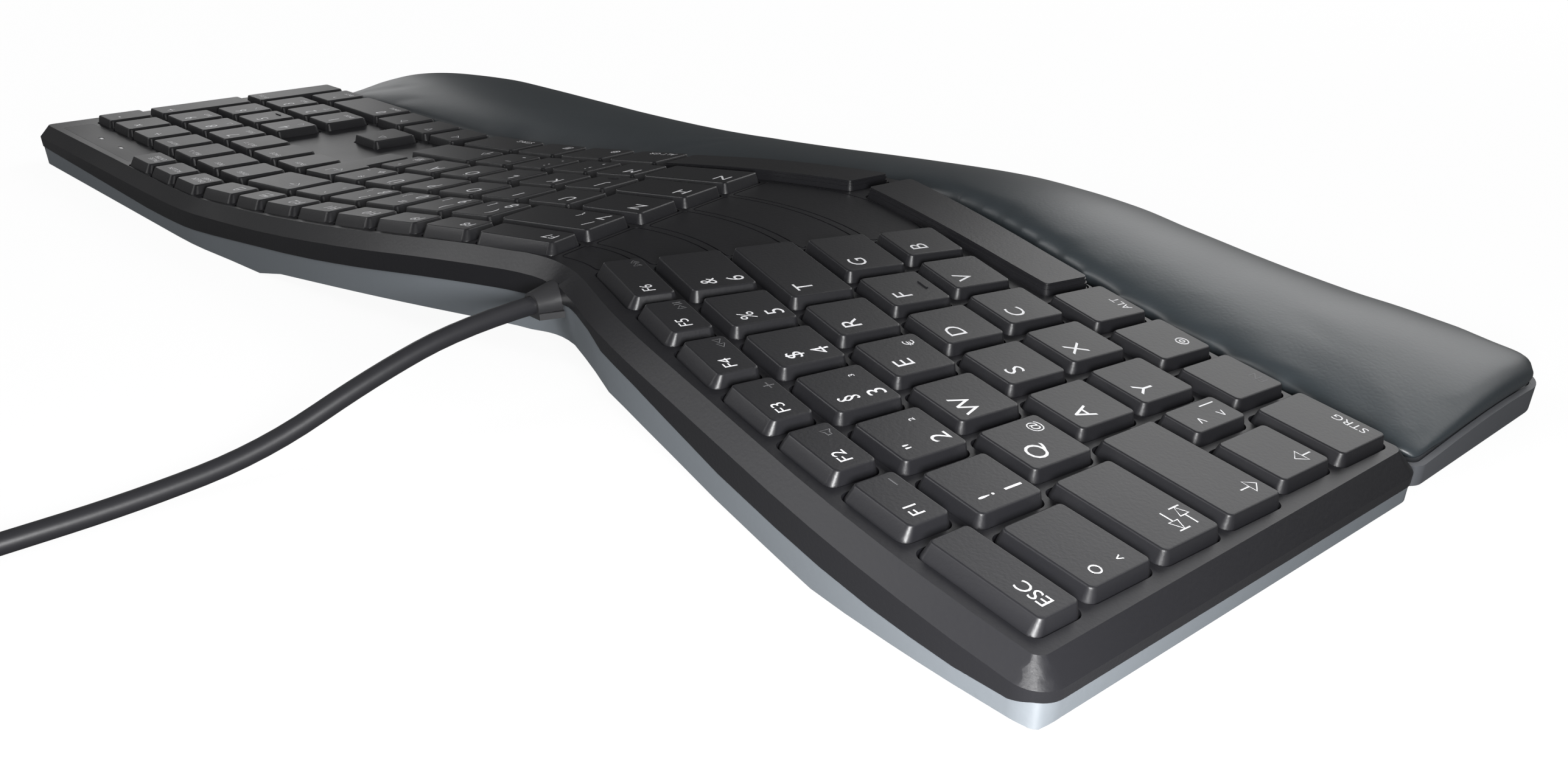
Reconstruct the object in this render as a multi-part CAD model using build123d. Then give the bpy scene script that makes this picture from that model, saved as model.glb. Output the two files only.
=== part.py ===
from build123d import *
import math
import os

os.makedirs("parts", exist_ok=True)

# Millimetres. X runs to the typist's right, Y away from the typist, Z up from the desk.
# Y starts at the home row of the number pad. The last step moves the whole part, so that
# the origin lies under the middle of the box of everything but the cord.

# Curve of the key tops across the width
pad_height = 16.3
flat_from = 128.0
hump_x = -66.0
hump_rise = 13.0
left_slope = 7.0
right_slope = 6.1
left_radius = 520.0
right_radius = 480.0

# Layers of the case, as drops below that curve
deck_drop = 2.6
deck_thick = 2.0
rim_drop = 3.7
band_height = 3.7
wall = 2.0
rim_wall = 3.4
tuck = 2.2
floor_thick = 2.0

# Plan of the case at its parting edge
side_x = 236.4
left_lean = 3.3
rear_flat_y = 75.0
rear_left_y = 77.9
front_flat_y = -41.3
front_left_y = -40.4
corner_round = 6.0
rear_curve = [(-216, 77.4), (-175, 73.5), (-137, 67.3), (-117, 63.9), (-91.5, 57.2), (-68, 50.8),
              (-44, 56), (-6.5, 65.3), (42.6, 70.8), (76.6, 73.4), (105, 75)]
front_curve = [(110, -41.3), (80, -43), (55, -46), (10, -50.8), (-30, -59), (-68, -69.6),
               (-115, -59.5), (-163, -48.1), (-191, -44), (-222, -40.9)]

# Underside
foot_gap = 0.4
arch_height = 10.5
arch_radius = 870.0
left_foot_end = -190.5
left_arch_start = -181.0
right_arch_end = 40.0
right_foot_start = 53.0

# Keys
key_gap = 4.0
key_size = 15.0
key_pitch = key_size + key_gap
function_depth = 9.0
key_flare = 0.8
flare_depth = 2.8
skirt_drop = 5.0
key_wall = 1.0
key_top_thick = 1.3
top_round = 0.5
corner_top = 1.1
corner_base = 1.9
well_clearance = 0.4
stem_radius = 1.9
stem_drop = 5.1
bar_stem_drop = 4.8
function_lean = 0.9
homing_bar = (3.6, 0.5, 0.3)
homing_y = -0.32 * key_size

# Grooves on the hump, from the key skirts
panel_margin = 1.5
panel_round = 1.5
panel_line = 0.45
panel_depth = 0.3

# Strip with the indicator lights
light_places = ((196.4, 63.9), (176.9, 63.9))
light_size = (3.2, 1.2)
window_corners = ((223.0, 68.6), (223.0, 58.2), (163.3, 58.2), (152.6, 69.2))
window_round = 1.2
window_thick = 0.6

# Sheets under the keys, as drops below the curve of the key tops
sheet_inset = 5.6
dome_drop = 8.0
dome_thick = 0.6
dome_height = 0.4
dome_radius = 3.6
membrane_thick = 0.5
plate_thick = 1.0

# Screws
screw_radius = 1.1
screw_head_radius = 2.1
screw_head_height = 1.6
screw_bite = 4.4
screw_seat = 2.4
boss_radius = 2.5
column_radius = 3.6
screw_places = [(-71, -4), (-71, -32), (104, -8.8), (142.2, -8.8), (162, 64), (213, 64), (228.6, 20),
                (228.6, -28)]

# Ribs across the bottom case
rib_thick = 1.6
rib_places = (-178, -158, -120, -30, 8, 62, 120, 200)

# Controller board
board_size = (58.0, 24.0, 1.6)
board_middle = (-71.0, 22.0)
board_lift = 1.6
board_hole_radius = 1.2
socket_size = (9.0, 9.0, 6.2)

# Rubber pads
foot_pad = (22.0, 8.0, 1.2)
foot_round = 2.5
foot_places = [(-211, 60), (-211, -24), (72, 60), (72, -30), (214, 60), (214, -24)]

# Cable
cable_x = -71.0
cable_z = 19.6
cable_diameter = 4.2
cable_length = 1800.0
cable_inner_end = 38.0
cable_notch = (16.0, 24.0)
cable_points = [(cable_x, cable_inner_end, cable_z), (-71, 56, 19.6), (-71, 75, 19.1), (-71, 98, 13.4),
                (-71, 124, 4.2), (-71.4, 150, 2.1), (-71.9, 176, 2.1), (-71.9, 202, 2.1)]
coil_middle_diameters = 12.0
coil_step = 4.7
coil_layers = 2
coil_dip = 1.2
tail_straight = 12.0
tail_drop_run = 26.0

# Boot round the cable at the rear wall
relief_neck = 3.4
relief_root = 4.3
relief_tip = 2.9
relief_long = 6.6
relief_flange = 5.4
flange_gap = 3.0
flange_thick = 2.1
relief_sole = (5.4, 3.0, 1.5)

# Plug
plug_body = (16.0, 9.0, 24.0)
plug_neck = (8.0, 7.0, 7.0)
plug_round = 2.4
plug_shell = (12.0, 4.5, 12.0)
plug_mouth = 2.6

# Wrist rest
rest_gap = 1.0
rest_side_x = 234.8
rest_front_y = -110.0
rest_round = 12.0
rest_rear_round = 4.0
rest_lip = 1.4
rest_lip_drop = 7.4
rest_skin = 1.8
rest_wall = 1.2
rest_rib = 1.6
rest_ribs = (-200, -150, -100, -50, 0, 60, 120, 180)
cushion_thick = 9.2
cushion_gap = 0.3
cushion_shoulder = 3.2
cushion_draw = 0.9
cushion_end = 4.5
crest_y = -90.0
crown_radius = 200.0
seat_radius = 600.0
crest_heights = [(-246, 12.9), (-226, 17.0), (-200, 19.2), (-170, 22.0), (-138, 26.0), (-103, 28.4),
                 (-66, 26.9), (-28, 24.2), (0, 22.0), (30, 20.0), (64, 18.8), (110, 18.8), (165, 18.8),
                 (205, 17.6), (226, 15.8), (246, 11.8)]
rest_front_curve = [(222, -110), (150, -114), (60, -121), (-66, -127.5), (-150, -121), (-222, -110)]


class Roof:
    """The curve of the key tops across the width, which every layer of the case follows."""

    def __init__(self):
        left = math.radians(left_slope)
        right = math.radians(right_slope)
        self.top = pad_height + hump_rise
        self.left_x = hump_x - left_radius * math.sin(left)
        self.left_z = self.top - left_radius * (1 - math.cos(left))
        self.right_x = hump_x + right_radius * math.sin(right)
        self.right_z = self.top - right_radius * (1 - math.cos(right))
        rise = self.right_z - pad_height
        run = flat_from - self.right_x
        fall = math.tan(right)
        self.valley = (rise - fall * run) / ((1 - math.cos(right)) - fall * math.sin(right))
        self.valley_x = flat_from - self.valley * math.sin(right)

    def z(self, x):
        """Height of the key tops above the desk at x."""
        if x < self.left_x:
            return self.left_z + (x - self.left_x) * math.tan(math.radians(left_slope))
        if x < hump_x:
            return self.top - left_radius + math.sqrt(left_radius ** 2 - (x - hump_x) ** 2)
        if x < self.right_x:
            return self.top - right_radius + math.sqrt(right_radius ** 2 - (x - hump_x) ** 2)
        if x < self.valley_x:
            return self.right_z - (x - self.right_x) * math.tan(math.radians(right_slope))
        if x < flat_from:
            return pad_height + self.valley - math.sqrt(self.valley ** 2 - (flat_from - x) ** 2)
        return pad_height

    def slope(self, x):
        """Slope at x in degrees, rising to the right when positive."""
        step = 0.01
        return math.degrees(math.atan2(self.z(x + step) - self.z(x - step), 2 * step))

    def line(self, drop, y):
        """Edges of the curve, lowered by drop, from beyond one side to beyond the other."""
        far = side_x + 20
        def at(x):
            return (x, y, self.z(x) - drop)
        return [Line(at(-far), at(self.left_x)),
                ThreePointArc(at(self.left_x), at((self.left_x + hump_x) / 2), at(hump_x)),
                ThreePointArc(at(hump_x), at((self.right_x + hump_x) / 2), at(self.right_x)),
                Line(at(self.right_x), at(self.valley_x)),
                ThreePointArc(at(self.valley_x), at((self.valley_x + flat_from) / 2), at(flat_from)),
                Line(at(flat_from), at(far))]

    def layer(self, upper, lower):
        """Solid between two copies of the curve, lowered by upper and lower."""
        near, far = -160.0, 120.0
        ends = []
        for x in (-side_x - 20, side_x + 20):
            ends.append(Line((x, near, self.z(x) - upper), (x, near, self.z(x) - lower)))
        face = Face(Wire(self.line(upper, near) + self.line(lower, near) + ends))
        return extrude(face, amount=far - near, dir=(0, 1, 0))

    def frame(self, x, y, turn):
        """Plane on the curve at x, y, its own X turned about the normal by turn degrees."""
        lean = math.radians(self.slope(x))
        spin = math.radians(turn)
        along = Vector(math.cos(lean), 0, math.sin(lean))
        normal = Vector(-math.sin(lean), 0, math.cos(lean))
        across = along * math.cos(spin) + Vector(0, 1, 0) * math.sin(spin)
        return Plane(origin=(x, y, self.z(x)), x_dir=across, z_dir=normal)


roof = Roof()


def drawn_in(points, start, end, inset):
    """Points of a curve moved to its right-hand side by inset; start and end are its end headings."""
    moved = []
    for index, (x, y) in enumerate(points):
        if index == 0:
            heading = Vector(*start)
        elif index == len(points) - 1:
            heading = Vector(*end)
        else:
            before, after = points[index - 1], points[index + 1]
            heading = Vector(after[0] - before[0], after[1] - before[1])
        heading = heading.normalized()
        moved.append((x + inset * heading.Y, y - inset * heading.X))
    return moved


def case_outline(inset):
    """Plan face of the case, drawn in by inset."""
    rear_points = drawn_in(rear_curve, (1, -0.05), (1, 0), inset)
    front_points = drawn_in(front_curve, (-1, 0), (-1, 0.05), inset)
    rear = Spline(rear_points, tangents=[(1, -0.05), (1, 0)])
    front = Spline(front_points, tangents=[(-1, 0), (-1, 0.05)])
    rear_left = (-side_x + left_lean + inset, rear_left_y - inset)
    front_left = (-side_x + inset, front_left_y + inset)
    rear_right = (side_x - inset, rear_flat_y - inset)
    front_right = (side_x - inset, front_flat_y + inset)
    edges = [rear, Line(rear_points[-1], rear_right), Line(rear_right, front_right),
             Line(front_right, front_points[0]), front, Line(front_points[-1], front_left),
             Line(front_left, rear_left), Line(rear_left, rear_points[0])]
    face = Face(Wire(edges))
    corners = [v for v in face.vertices() if abs(v.X) > side_x - left_lean - inset - 1]
    return fillet(corners, max(corner_round - inset, 1.0))


def upright(face, low, high):
    """Prism on a plan face between two heights."""
    return extrude(face, amount=high - low, dir=(0, 0, 1)).moved(Location((0, 0, low)))


def above_underside(lift):
    """Everything above the underside of the case, raised by lift."""
    low = foot_gap + lift
    far = side_x + 20
    high = 70.0
    def arch(x):
        return (x, 0, arch_height + lift - (x - hump_x) ** 2 / (2 * arch_radius))
    edges = [Line((-far, 0, low), (left_foot_end, 0, low)),
             Line((left_foot_end, 0, low), arch(left_arch_start)),
             ThreePointArc(arch(left_arch_start), arch((left_arch_start + right_arch_end) / 2), arch(right_arch_end)),
             Line(arch(right_arch_end), (right_foot_start, 0, low)),
             Line((right_foot_start, 0, low), (far, 0, low)),
             Line((far, 0, low), (far, 0, high)),
             Line((far, 0, high), (-far, 0, high)),
             Line((-far, 0, high), (-far, 0, low))]
    return extrude(Face(Wire(edges)), amount=160.0, dir=(0, 1, 0), both=True)


# Where the keys are

class Fan:
    """How far a key of one half is turned, from where it lies."""

    def __init__(self, side, start, across, curl, away, twist):
        self.side = side
        self.terms = (start, across, curl, away, twist)

    def turn(self, x, y):
        start, across, curl, away, twist = self.terms
        u = self.side * (x - hump_x) / 100
        v = y / 100
        return start + across * u + curl * u ** 2 + away * v + twist * u * v

    def row(self, start, widths):
        """Places of a row's keys, walked outwards from its innermost key."""
        x, y = start
        places = [(x, y, self.side * self.turn(x, y))]
        for before, width in zip(widths, widths[1:]):
            step = (before + width) / 2 + key_gap
            phi = self.turn(x, y)
            for _ in range(2):
                mean = math.radians((phi + self.turn(x, y)) / 2)
                next_x = x + self.side * step * math.cos(mean)
                next_y = y + step * math.sin(mean)
                phi = self.turn(next_x, next_y)
            x, y = next_x, next_y
            places.append((x, y, self.side * phi))
        return places


left_fan = Fan(-1, 23.26, -17.09, 2.91, -3.22, 1.33)
right_fan = Fan(1, 21.39, -27.44, 12.08, -0.74, -0.56)

# Each row: start of its innermost key, depth, then its keys outwards as node, width
left_rows = [
    ((-93.1, 43.15), function_depth, [("key_f6", 22.3)] + [("keys_f1_f5", 15.1)] * 5 + [("key_escape", 24.6)]),
    ((-98.5, 28.1), key_size, [("key_6", 21.9)] + [("keys_1_5", key_size)] * 5 + [("key_grave", 19.8)]),
    ((-108.9, 11.5), key_size, [("key_t", 30.9)] + [("keys_q_r", key_size)] * 4 + [("key_tab", 24.7)]),
    ((-109.9, -8.0), key_size, [("key_g", 20.8)] + [("keys_a_f", key_size)] * 4 + [("key_caps_lock", 29.6)]),
    ((-113.6, -26.75), key_size, [("key_b", 15.3)] + [("keys_angle_v", key_size)] * 4
     + [("keys_angle_v", 8.9), ("key_shift_left", key_size)]),
    ((-160.5, -35.1), key_size, [("keys_bottom_left", key_size)] * 3 + [("key_control_left", 19.7)]),
]
right_rows = [
    ((-49.75, 43.5), function_depth, [("key_f7", 22.7)] + [("keys_f8_f12", 15.1)] * 5
     + [("keys_web_lock", 12.4), ("keys_web_lock", 16.0)]),
    ((-43.5, 28.9), key_size, [("key_7", 27.8)] + [("keys_8_acute", key_size)] * 5 + [("key_backspace", 24.2)]),
    ((-44.1, 9.1), key_size, [("key_z", 19.2)] + [("keys_u_plus", key_size)] * 5 + [("keys_u_plus", 13.2)]),
    ((-37.6, -8.4), key_size, [("key_h", 23.8)] + [("keys_j_hash", key_size)] * 5 + [("keys_j_hash", 9.0)]),
    ((-30.7, -25.9), key_size, [("key_n", 28.8)] + [("keys_m_minus", key_size)] * 4 + [("key_shift_right", 29.8)]),
    ((8.9, -38.0), key_size, [("keys_bottom_right", 19.4), ("keys_bottom_right", 19.0),
                              ("keys_bottom_right", 17.6), ("key_control_right", 24.8)]),
]

first_column = 104.1
last_column = 217.0
last_width = 13.0
pad_rows = {"function": 64.5, "number": 47.9, "upper": 28.9, "home": 9.9, "lower": -9.0, "bottom": -28.0}


def column(index):
    """X of a column of the two square blocks at the right."""
    return first_column + index * key_pitch


def block_keys():
    """Keys of the square blocks: node, x, y, width, depth."""
    keys = []
    for index in range(3):
        keys.append(("keys_system", column(index), pad_rows["function"], key_size, function_depth))
        keys.append(("keys_navigation", column(index), pad_rows["number"], key_size, key_size))
        keys.append(("keys_navigation", column(index), pad_rows["upper"], key_size, key_size))
    keys.append(("keys_cursor", column(1), pad_rows["lower"] + 0.7, key_size, key_size))
    for index in range(3):
        keys.append(("keys_cursor", column(index), pad_rows["bottom"] + 1.1, key_size, key_size))
        for name in ("number", "upper", "home", "lower"):
            keys.append(("keys_pad", column(index + 3), pad_rows[name], key_size, key_size))
    keys.append(("keys_pad", last_column, pad_rows["number"], last_width, key_size))
    keys.append(("keys_pad", column(5), pad_rows["bottom"], key_size, key_size))
    keys.append(("key_pad_zero", (column(3) + column(4)) / 2, pad_rows["bottom"], 2 * key_size + key_gap, key_size))
    tall = 2 * key_size + key_gap
    keys.append(("keys_pad_tall", last_column, (pad_rows["upper"] + pad_rows["home"]) / 2, last_width, tall))
    keys.append(("keys_pad_tall", last_column, (pad_rows["lower"] + pad_rows["bottom"]) / 2, last_width, tall))
    return keys


def all_keys():
    """Every plain key: node, x, y, turn, width, depth."""
    keys = []
    for fan, rows in ((left_fan, left_rows), (right_fan, right_rows)):
        for start, depth, row in rows:
            places = fan.row(start, [width for _, width in row])
            for (node, width), (x, y, turn) in zip(row, places):
                keys.append((node, x, y, turn, width, depth))
    for node, x, y, width, depth in block_keys():
        keys.append((node, x, y, 0.0, width, depth))
    return keys


# Key caps

def rounded(width, depth, radius, z, shift=0.0):
    """Rounded rectangle at a height, moved along Y by shift."""
    face = RectangleRounded(width, depth, radius)
    return face.moved(Location((0, shift, z)))


def cap_body(width, depth, grow, drop):
    """Outer or inner form of a cap: grow widens it, drop lowers its top."""
    lean = function_lean if depth < key_size else 0.0
    wide = width + 2 * key_flare + 2 * grow
    deep = depth + 2 * key_flare + 2 * grow + lean
    base = max(corner_base + grow, 0.6)
    top = rounded(width + 2 * grow, depth + 2 * grow, max(corner_top + grow, 0.5), -drop)
    shoulder = rounded(wide, deep, base, -flare_depth - drop / 2, lean / 2)
    skirt = rounded(wide, deep, base, -skirt_drop - (0.5 if drop else 0.0), lean / 2)
    return loft([top, shoulder, skirt], ruled=True)


def key_cap(width, depth):
    """Hollow key cap with its stem, top at Z zero."""
    outer = cap_body(width, depth, 0.0, 0.0)
    outer = fillet(outer.faces().sort_by(Axis.Z)[-1].edges(), top_round)
    inner = cap_body(width, depth, -key_wall, key_top_thick)
    cap = outer - inner
    reach = stem_drop - key_top_thick + 0.4
    stem_z = -(stem_drop + key_top_thick - 0.4) / 2
    posts = [0.0]
    if max(width, depth) > 1.8 * key_size:
        posts = [-0.25, 0.25]
    for share in posts:
        x = share * width if width > depth else 0.0
        y = share * depth if depth > width else 0.0
        cap += Pos(x, y, stem_z) * Cylinder(min(stem_radius, width / 4), reach)
    return cap


def key_well(width, depth, x, y, turn):
    """Plan outline of the opening in the deck for a key."""
    lean = function_lean if depth < key_size else 0.0
    room = 2 * (key_flare + well_clearance)
    middle = deck_drop + deck_thick / 2
    drift = middle * math.sin(math.radians(roof.slope(x)))
    face = RectangleRounded(width + room, depth + room + lean, corner_base + well_clearance)
    return Pos(x + drift, y, 0) * Rot(0, 0, turn) * Pos(0, lean / 2, 0) * face


def strip_face(rear_left, rear_right, front_left, front_right, bow, grow):
    """Curved strip in plan, such as a space bar, grown by grow."""
    rear_mid = ((rear_left[0] + rear_right[0]) / 2, (rear_left[1] + rear_right[1]) / 2 + bow)
    front_mid = ((front_left[0] + front_right[0]) / 2, (front_left[1] + front_right[1]) / 2 + bow)
    edges = [ThreePointArc(rear_left, rear_mid, rear_right), Line(rear_right, front_right),
             ThreePointArc(front_right, front_mid, front_left), Line(front_left, rear_left)]
    face = Face(Wire(edges))
    face = fillet(face.vertices(), corner_top)
    if grow:
        face = offset(face, amount=grow)
    return face


space_bow = 1.0
space_bars = {
    "key_space_left": ((-147.2, -33.0), (-75.9, -47.7), (-149.6, -45.3), (-77.2, -62.7)),
    "key_space_right": ((-68.2, -48.2), (-6.2, -32.5), (-69.6, -62.0), (-3.7, -46.2)),
}


def bar_stems(corners):
    """Places of a space bar's stems."""
    places = []
    for share in (0.2, 0.5, 0.8):
        x = corners[0][0] + share * (corners[1][0] - corners[0][0])
        y = (corners[0][1] + corners[2][1]) / 2 + share * (corners[1][1] - corners[0][1])
        places.append((x, y))
    return places


def space_bar(corners):
    """Space bar whose top follows the roof."""
    body = None
    steps = [(0.0, 0.0, top_round), (0.25, top_round, flare_depth / 2), (0.55, flare_depth / 2, flare_depth),
             (key_flare, flare_depth, skirt_drop)]
    for grow, upper, lower in steps:
        slab = upright(strip_face(*corners, space_bow, grow), 0, 60) & roof.layer(upper, lower)
        body = slab if body is None else body + slab
    inner = upright(strip_face(*corners, space_bow, -key_wall), 0, 60) & roof.layer(key_top_thick, 8.0)
    body = body - inner
    for x, y in bar_stems(corners):
        stem = Pos(x, y, 20) * Cylinder(stem_radius, 60)
        body += stem & roof.layer(key_top_thick - 0.4, bar_stem_drop)
    return body


# The angled return key: two plain caps that share a top
return_upper = (85.6, 27.7, 5.8, 13.6, key_size)
return_lower = (88.0, 12.6, 5.8, 10.4, 16.4)


def return_key():
    """Return key of two joined rectangles."""
    x, y, turn, width, depth = return_upper
    frame = roof.frame(x, y, turn)
    far_x, far_y, _, low_width, low_depth = return_lower
    place = frame.to_local_coords(Vector(far_x, far_y, roof.z(far_x)))
    offset_place = Location((place.X, place.Y, 0))
    outer = cap_body(width, depth, 0, 0) + cap_body(low_width, low_depth, 0, 0).moved(offset_place)
    inner = cap_body(width, depth, -key_wall, key_top_thick)
    inner += cap_body(low_width, low_depth, -key_wall, key_top_thick).moved(offset_place)
    cap = outer - inner
    reach = stem_drop - key_top_thick + 0.4
    cap += Pos(0, 0, -(stem_drop + key_top_thick - 0.4) / 2) * Cylinder(stem_radius, reach)
    well = key_well(width, depth, x, y, turn) + key_well(low_width, low_depth, far_x, far_y, turn)
    return frame.location * cap, well


def homing_mark(frame):
    """Low bar on a home key, near its front edge."""
    long, deep, high = homing_bar
    mark = Box(long, deep, 2 * high).moved(Location((0, homing_y, 0)))
    return frame.location * mark


def make_keys():
    """Key nodes, the wells that they need and the places of their stems."""
    caps = {}
    wells = []
    stems = []
    shapes = {}
    homes = (left_fan.row(left_rows[3][0], [w for _, w in left_rows[3][2]])[1][:2],
             right_fan.row(right_rows[3][0], [w for _, w in right_rows[3][2]])[1][:2],
             (column(4), pad_rows["home"]))
    for node, x, y, turn, width, depth in all_keys():
        size = (round(width, 3), round(depth, 3))
        if size not in shapes:
            shapes[size] = key_cap(width, depth)
        cap = shapes[size]
        frame = roof.frame(x, y, turn)
        placed = frame.location * cap
        if any(math.hypot(x - hx, y - hy) < 0.1 for hx, hy in homes):
            placed = placed + homing_mark(frame)
        caps.setdefault(node, []).append(placed)
        wells.append(key_well(width, depth, x, y, turn))
        stems.append((x, y, turn))
    for node, corners in space_bars.items():
        caps[node] = [space_bar(corners)]
        room = key_flare + well_clearance
        wells.append(strip_face(*corners, space_bow, room))
        stems += [(x, y, 0.0) for x, y in bar_stems(corners)]
    cap, well = return_key()
    caps["key_return"] = [cap]
    wells.append(well)
    stems.append((return_upper[0], return_upper[1], return_upper[2]))
    return caps, wells, stems


# Case

def panel_bow(left, right, turned):
    """Sag of an arc that leaves one half's row and meets the other's in line."""
    half = math.hypot(right[0] - left[0], right[1] - left[1]) / 2
    return half * math.tan(math.radians(turned / 4))


def hump_panels():
    """Engraved outlines between the two halves, one for each row."""
    cuts = []
    bars_y = (space_bars["key_space_left"][1][1] + space_bars["key_space_right"][0][1]) / 2
    last_y = bars_y + key_flare + well_clearance + panel_margin
    for left, right in zip(left_rows[:5], right_rows[:5]):
        marks = []
        turns = []
        for fan, (start, depth, row), side in ((left_fan, left, 1), (right_fan, right, -1)):
            x, y = start
            turns.append(fan.side * fan.turn(x, y))
            turn = math.radians(turns[-1])
            reach = row[0][1] / 2 + key_flare + panel_margin
            half = depth / 2 + key_flare
            for sign in (1, -1):
                marks.append((x + side * reach * math.cos(turn) - sign * half * math.sin(turn),
                              y + side * reach * math.sin(turn) + sign * half * math.cos(turn)))
        back_left, front_left, back_right, front_right = marks
        turned = turns[1] - turns[0]
        back_y = (back_left[1] + back_right[1]) / 2 - panel_bow(back_left, back_right, turned)
        front_y = (front_left[1] + front_right[1]) / 2 - panel_bow(front_left, front_right, turned)
        if left is left_rows[4]:
            front_y = last_y
        back_mid = ((back_left[0] + back_right[0]) / 2, back_y)
        front_mid = ((front_left[0] + front_right[0]) / 2, front_y)
        face = Face(Wire([ThreePointArc(back_left, back_mid, back_right), Line(back_right, front_right),
                          ThreePointArc(front_right, front_mid, front_left), Line(front_left, back_left)]))
        face = fillet(face.vertices(), panel_round)
        ring = face - offset(face, amount=-panel_line)
        cuts.append(upright(ring, 0, 60) & roof.layer(deck_drop - 1, deck_drop + panel_depth))
    return cuts


def window_face(shrink):
    """Plan face of the dark strip over the indicator lights."""
    face = Face(Wire(Polyline(*window_corners, close=True)))
    face = fillet(face.vertices(), window_round)
    if shrink:
        face = offset(face, amount=-shrink)
    return face


def meeting_z(x):
    """Height at which the bosses of the two case halves meet."""
    return roof.z(x) - deck_drop - rim_drop - band_height - 0.2


def make_top_case(wells):
    block = upright(case_outline(0), -20, 60)
    block = block & roof.layer(deck_drop, deck_drop + rim_drop + band_height)
    tops = [f for f in block.faces() if f.normal_at().Z > 0.9]
    met = {}
    for face in tops:
        for edge in face.edges():
            spot = edge @ 0.5
            met.setdefault((round(spot.X, 2), round(spot.Y, 2)), []).append(edge)
    rim = [edges[0] for edges in met.values() if len(edges) == 1]
    block = chamfer(rim, rim_drop)
    block -= upright(case_outline(rim_wall), -20, 60) & roof.layer(deck_drop + deck_thick, 20)
    for x, y in screw_places:
        top = roof.z(x) - deck_drop - 1.0
        low = meeting_z(x)
        block += Pos(x, y, (top + low) / 2) * Cylinder(boss_radius, top - low)
        block -= Pos(x, y, low + screw_bite / 2 - 1) * Cylinder(screw_radius, screw_bite + 2)
    block -= hump_panels()
    block -= [upright(well, 0, 60) for well in wells]
    block -= upright(window_face(0), 0, 60) & roof.layer(0, deck_drop + window_thick)
    for x, y in light_places:
        block -= Pos(x, y, roof.z(x) - 4) * Box(light_size[0], light_size[1], 6)
    return block


def make_bottom_case():
    shell = upright(case_outline(tuck), -20, 60) & roof.layer(deck_drop + rim_drop + band_height, 80)
    shell = shell & above_underside(0)
    shell -= upright(case_outline(tuck + wall), -20, 60) & above_underside(floor_thick)
    under_plate = dome_drop + dome_thick + membrane_thick + plate_thick
    room = upright(case_outline(tuck + wall / 2), -20, 60) & above_underside(0)
    room = room & roof.layer(under_plate, 80)
    for x in rib_places:
        rib = Pos(x, 0, 30) * Box(rib_thick, 200, 60)
        shell += rib & room
    for x, y in screw_places:
        top = meeting_z(x)
        post = Pos(x, y, top / 2) * Cylinder(column_radius, top)
        shell += post & above_underside(0)
        seat = top - screw_seat
        shell -= Pos(x, y, seat / 2 - 5) * Cylinder(screw_head_radius + 0.3, seat + 10)
        shell -= Pos(x, y, top - 2) * Cylinder(screw_radius + 0.2, 8)
    return shell


def make_screws():
    screws = []
    for x, y in screw_places:
        seat = meeting_z(x) - screw_seat
        head = Pos(x, y, seat - screw_head_height / 2) * Cylinder(screw_head_radius, screw_head_height)
        reach = screw_seat + screw_bite
        shank = Pos(x, y, seat + reach / 2 - 0.1) * Cylinder(screw_radius, reach + 0.2)
        slot = Pos(x, y, seat - screw_head_height) * Box(2.6, 0.6, 1.2)
        cross = Pos(x, y, seat - screw_head_height) * Box(0.6, 2.6, 1.2)
        screws.append(head + shank - slot - cross)
    return screws


def sheet(upper, lower, hole):
    """Sheet between two drops, with room for the bosses and the cable."""
    body = upright(case_outline(sheet_inset), -20, 60) & roof.layer(upper, lower)
    holes = []
    for x, y in screw_places:
        holes.append(Pos(x, y, 20) * Cylinder(column_radius + hole, 80))
    holes.append(Pos(cable_x, cable_notch[1] + 30, 20) * Box(cable_notch[0], 60, 80))
    return body - holes


def make_dome_sheet(stems):
    body = sheet(dome_drop, dome_drop + dome_thick, 0.5)
    slab = roof.layer(dome_drop - dome_height, dome_drop + dome_thick / 2)
    for x, y, turn in stems:
        drift = dome_drop * math.sin(math.radians(roof.slope(x)))
        body += Pos(x + drift, y, 20) * Cylinder(dome_radius, 60) & slab
    return body


def make_board():
    """Controller board with its chip, its cable socket and its posts."""
    long, deep, thick = board_size
    x, y = board_middle
    low = arch_height + floor_thick + board_lift
    board = Pos(x, y, low + thick / 2) * Box(long, deep, thick)
    board += Pos(x - 12, y - 2, low + thick + 0.6) * Box(12, 12, 1.4)
    board += Pos(x + 14, y + 4, low + thick + 0.8) * Box(4.6, 3.4, 1.8)
    board += Pos(x + 14, y - 5, low + thick + 0.5) * Box(8, 3, 1.2)
    for place in (-25, 25):
        board -= Pos(x + place, y, low) * Cylinder(board_hole_radius, 10)
    wide, far, high = socket_size
    return board + Pos(cable_x, cable_inner_end - far / 2, low + thick + high / 2 - 0.05) * Box(wide, far, high)


def make_window():
    """Dark strip with a window over each light."""
    strip = upright(window_face(0.05), 0, 60) & roof.layer(deck_drop, deck_drop + window_thick)
    for x, y in light_places:
        strip -= Pos(x, y, roof.z(x) - 3) * Box(light_size[0], light_size[1], 4)
    return strip


def make_lights():
    """Light guides that fill the slits of the strip."""
    guides = []
    for x, y in light_places:
        top = roof.z(x) - deck_drop - 0.1
        low = top - 3.4
        guides.append(Pos(x, y, (top + low) / 2) * Box(light_size[0] - 0.1, light_size[1] - 0.1, top - low))
    return guides


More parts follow.
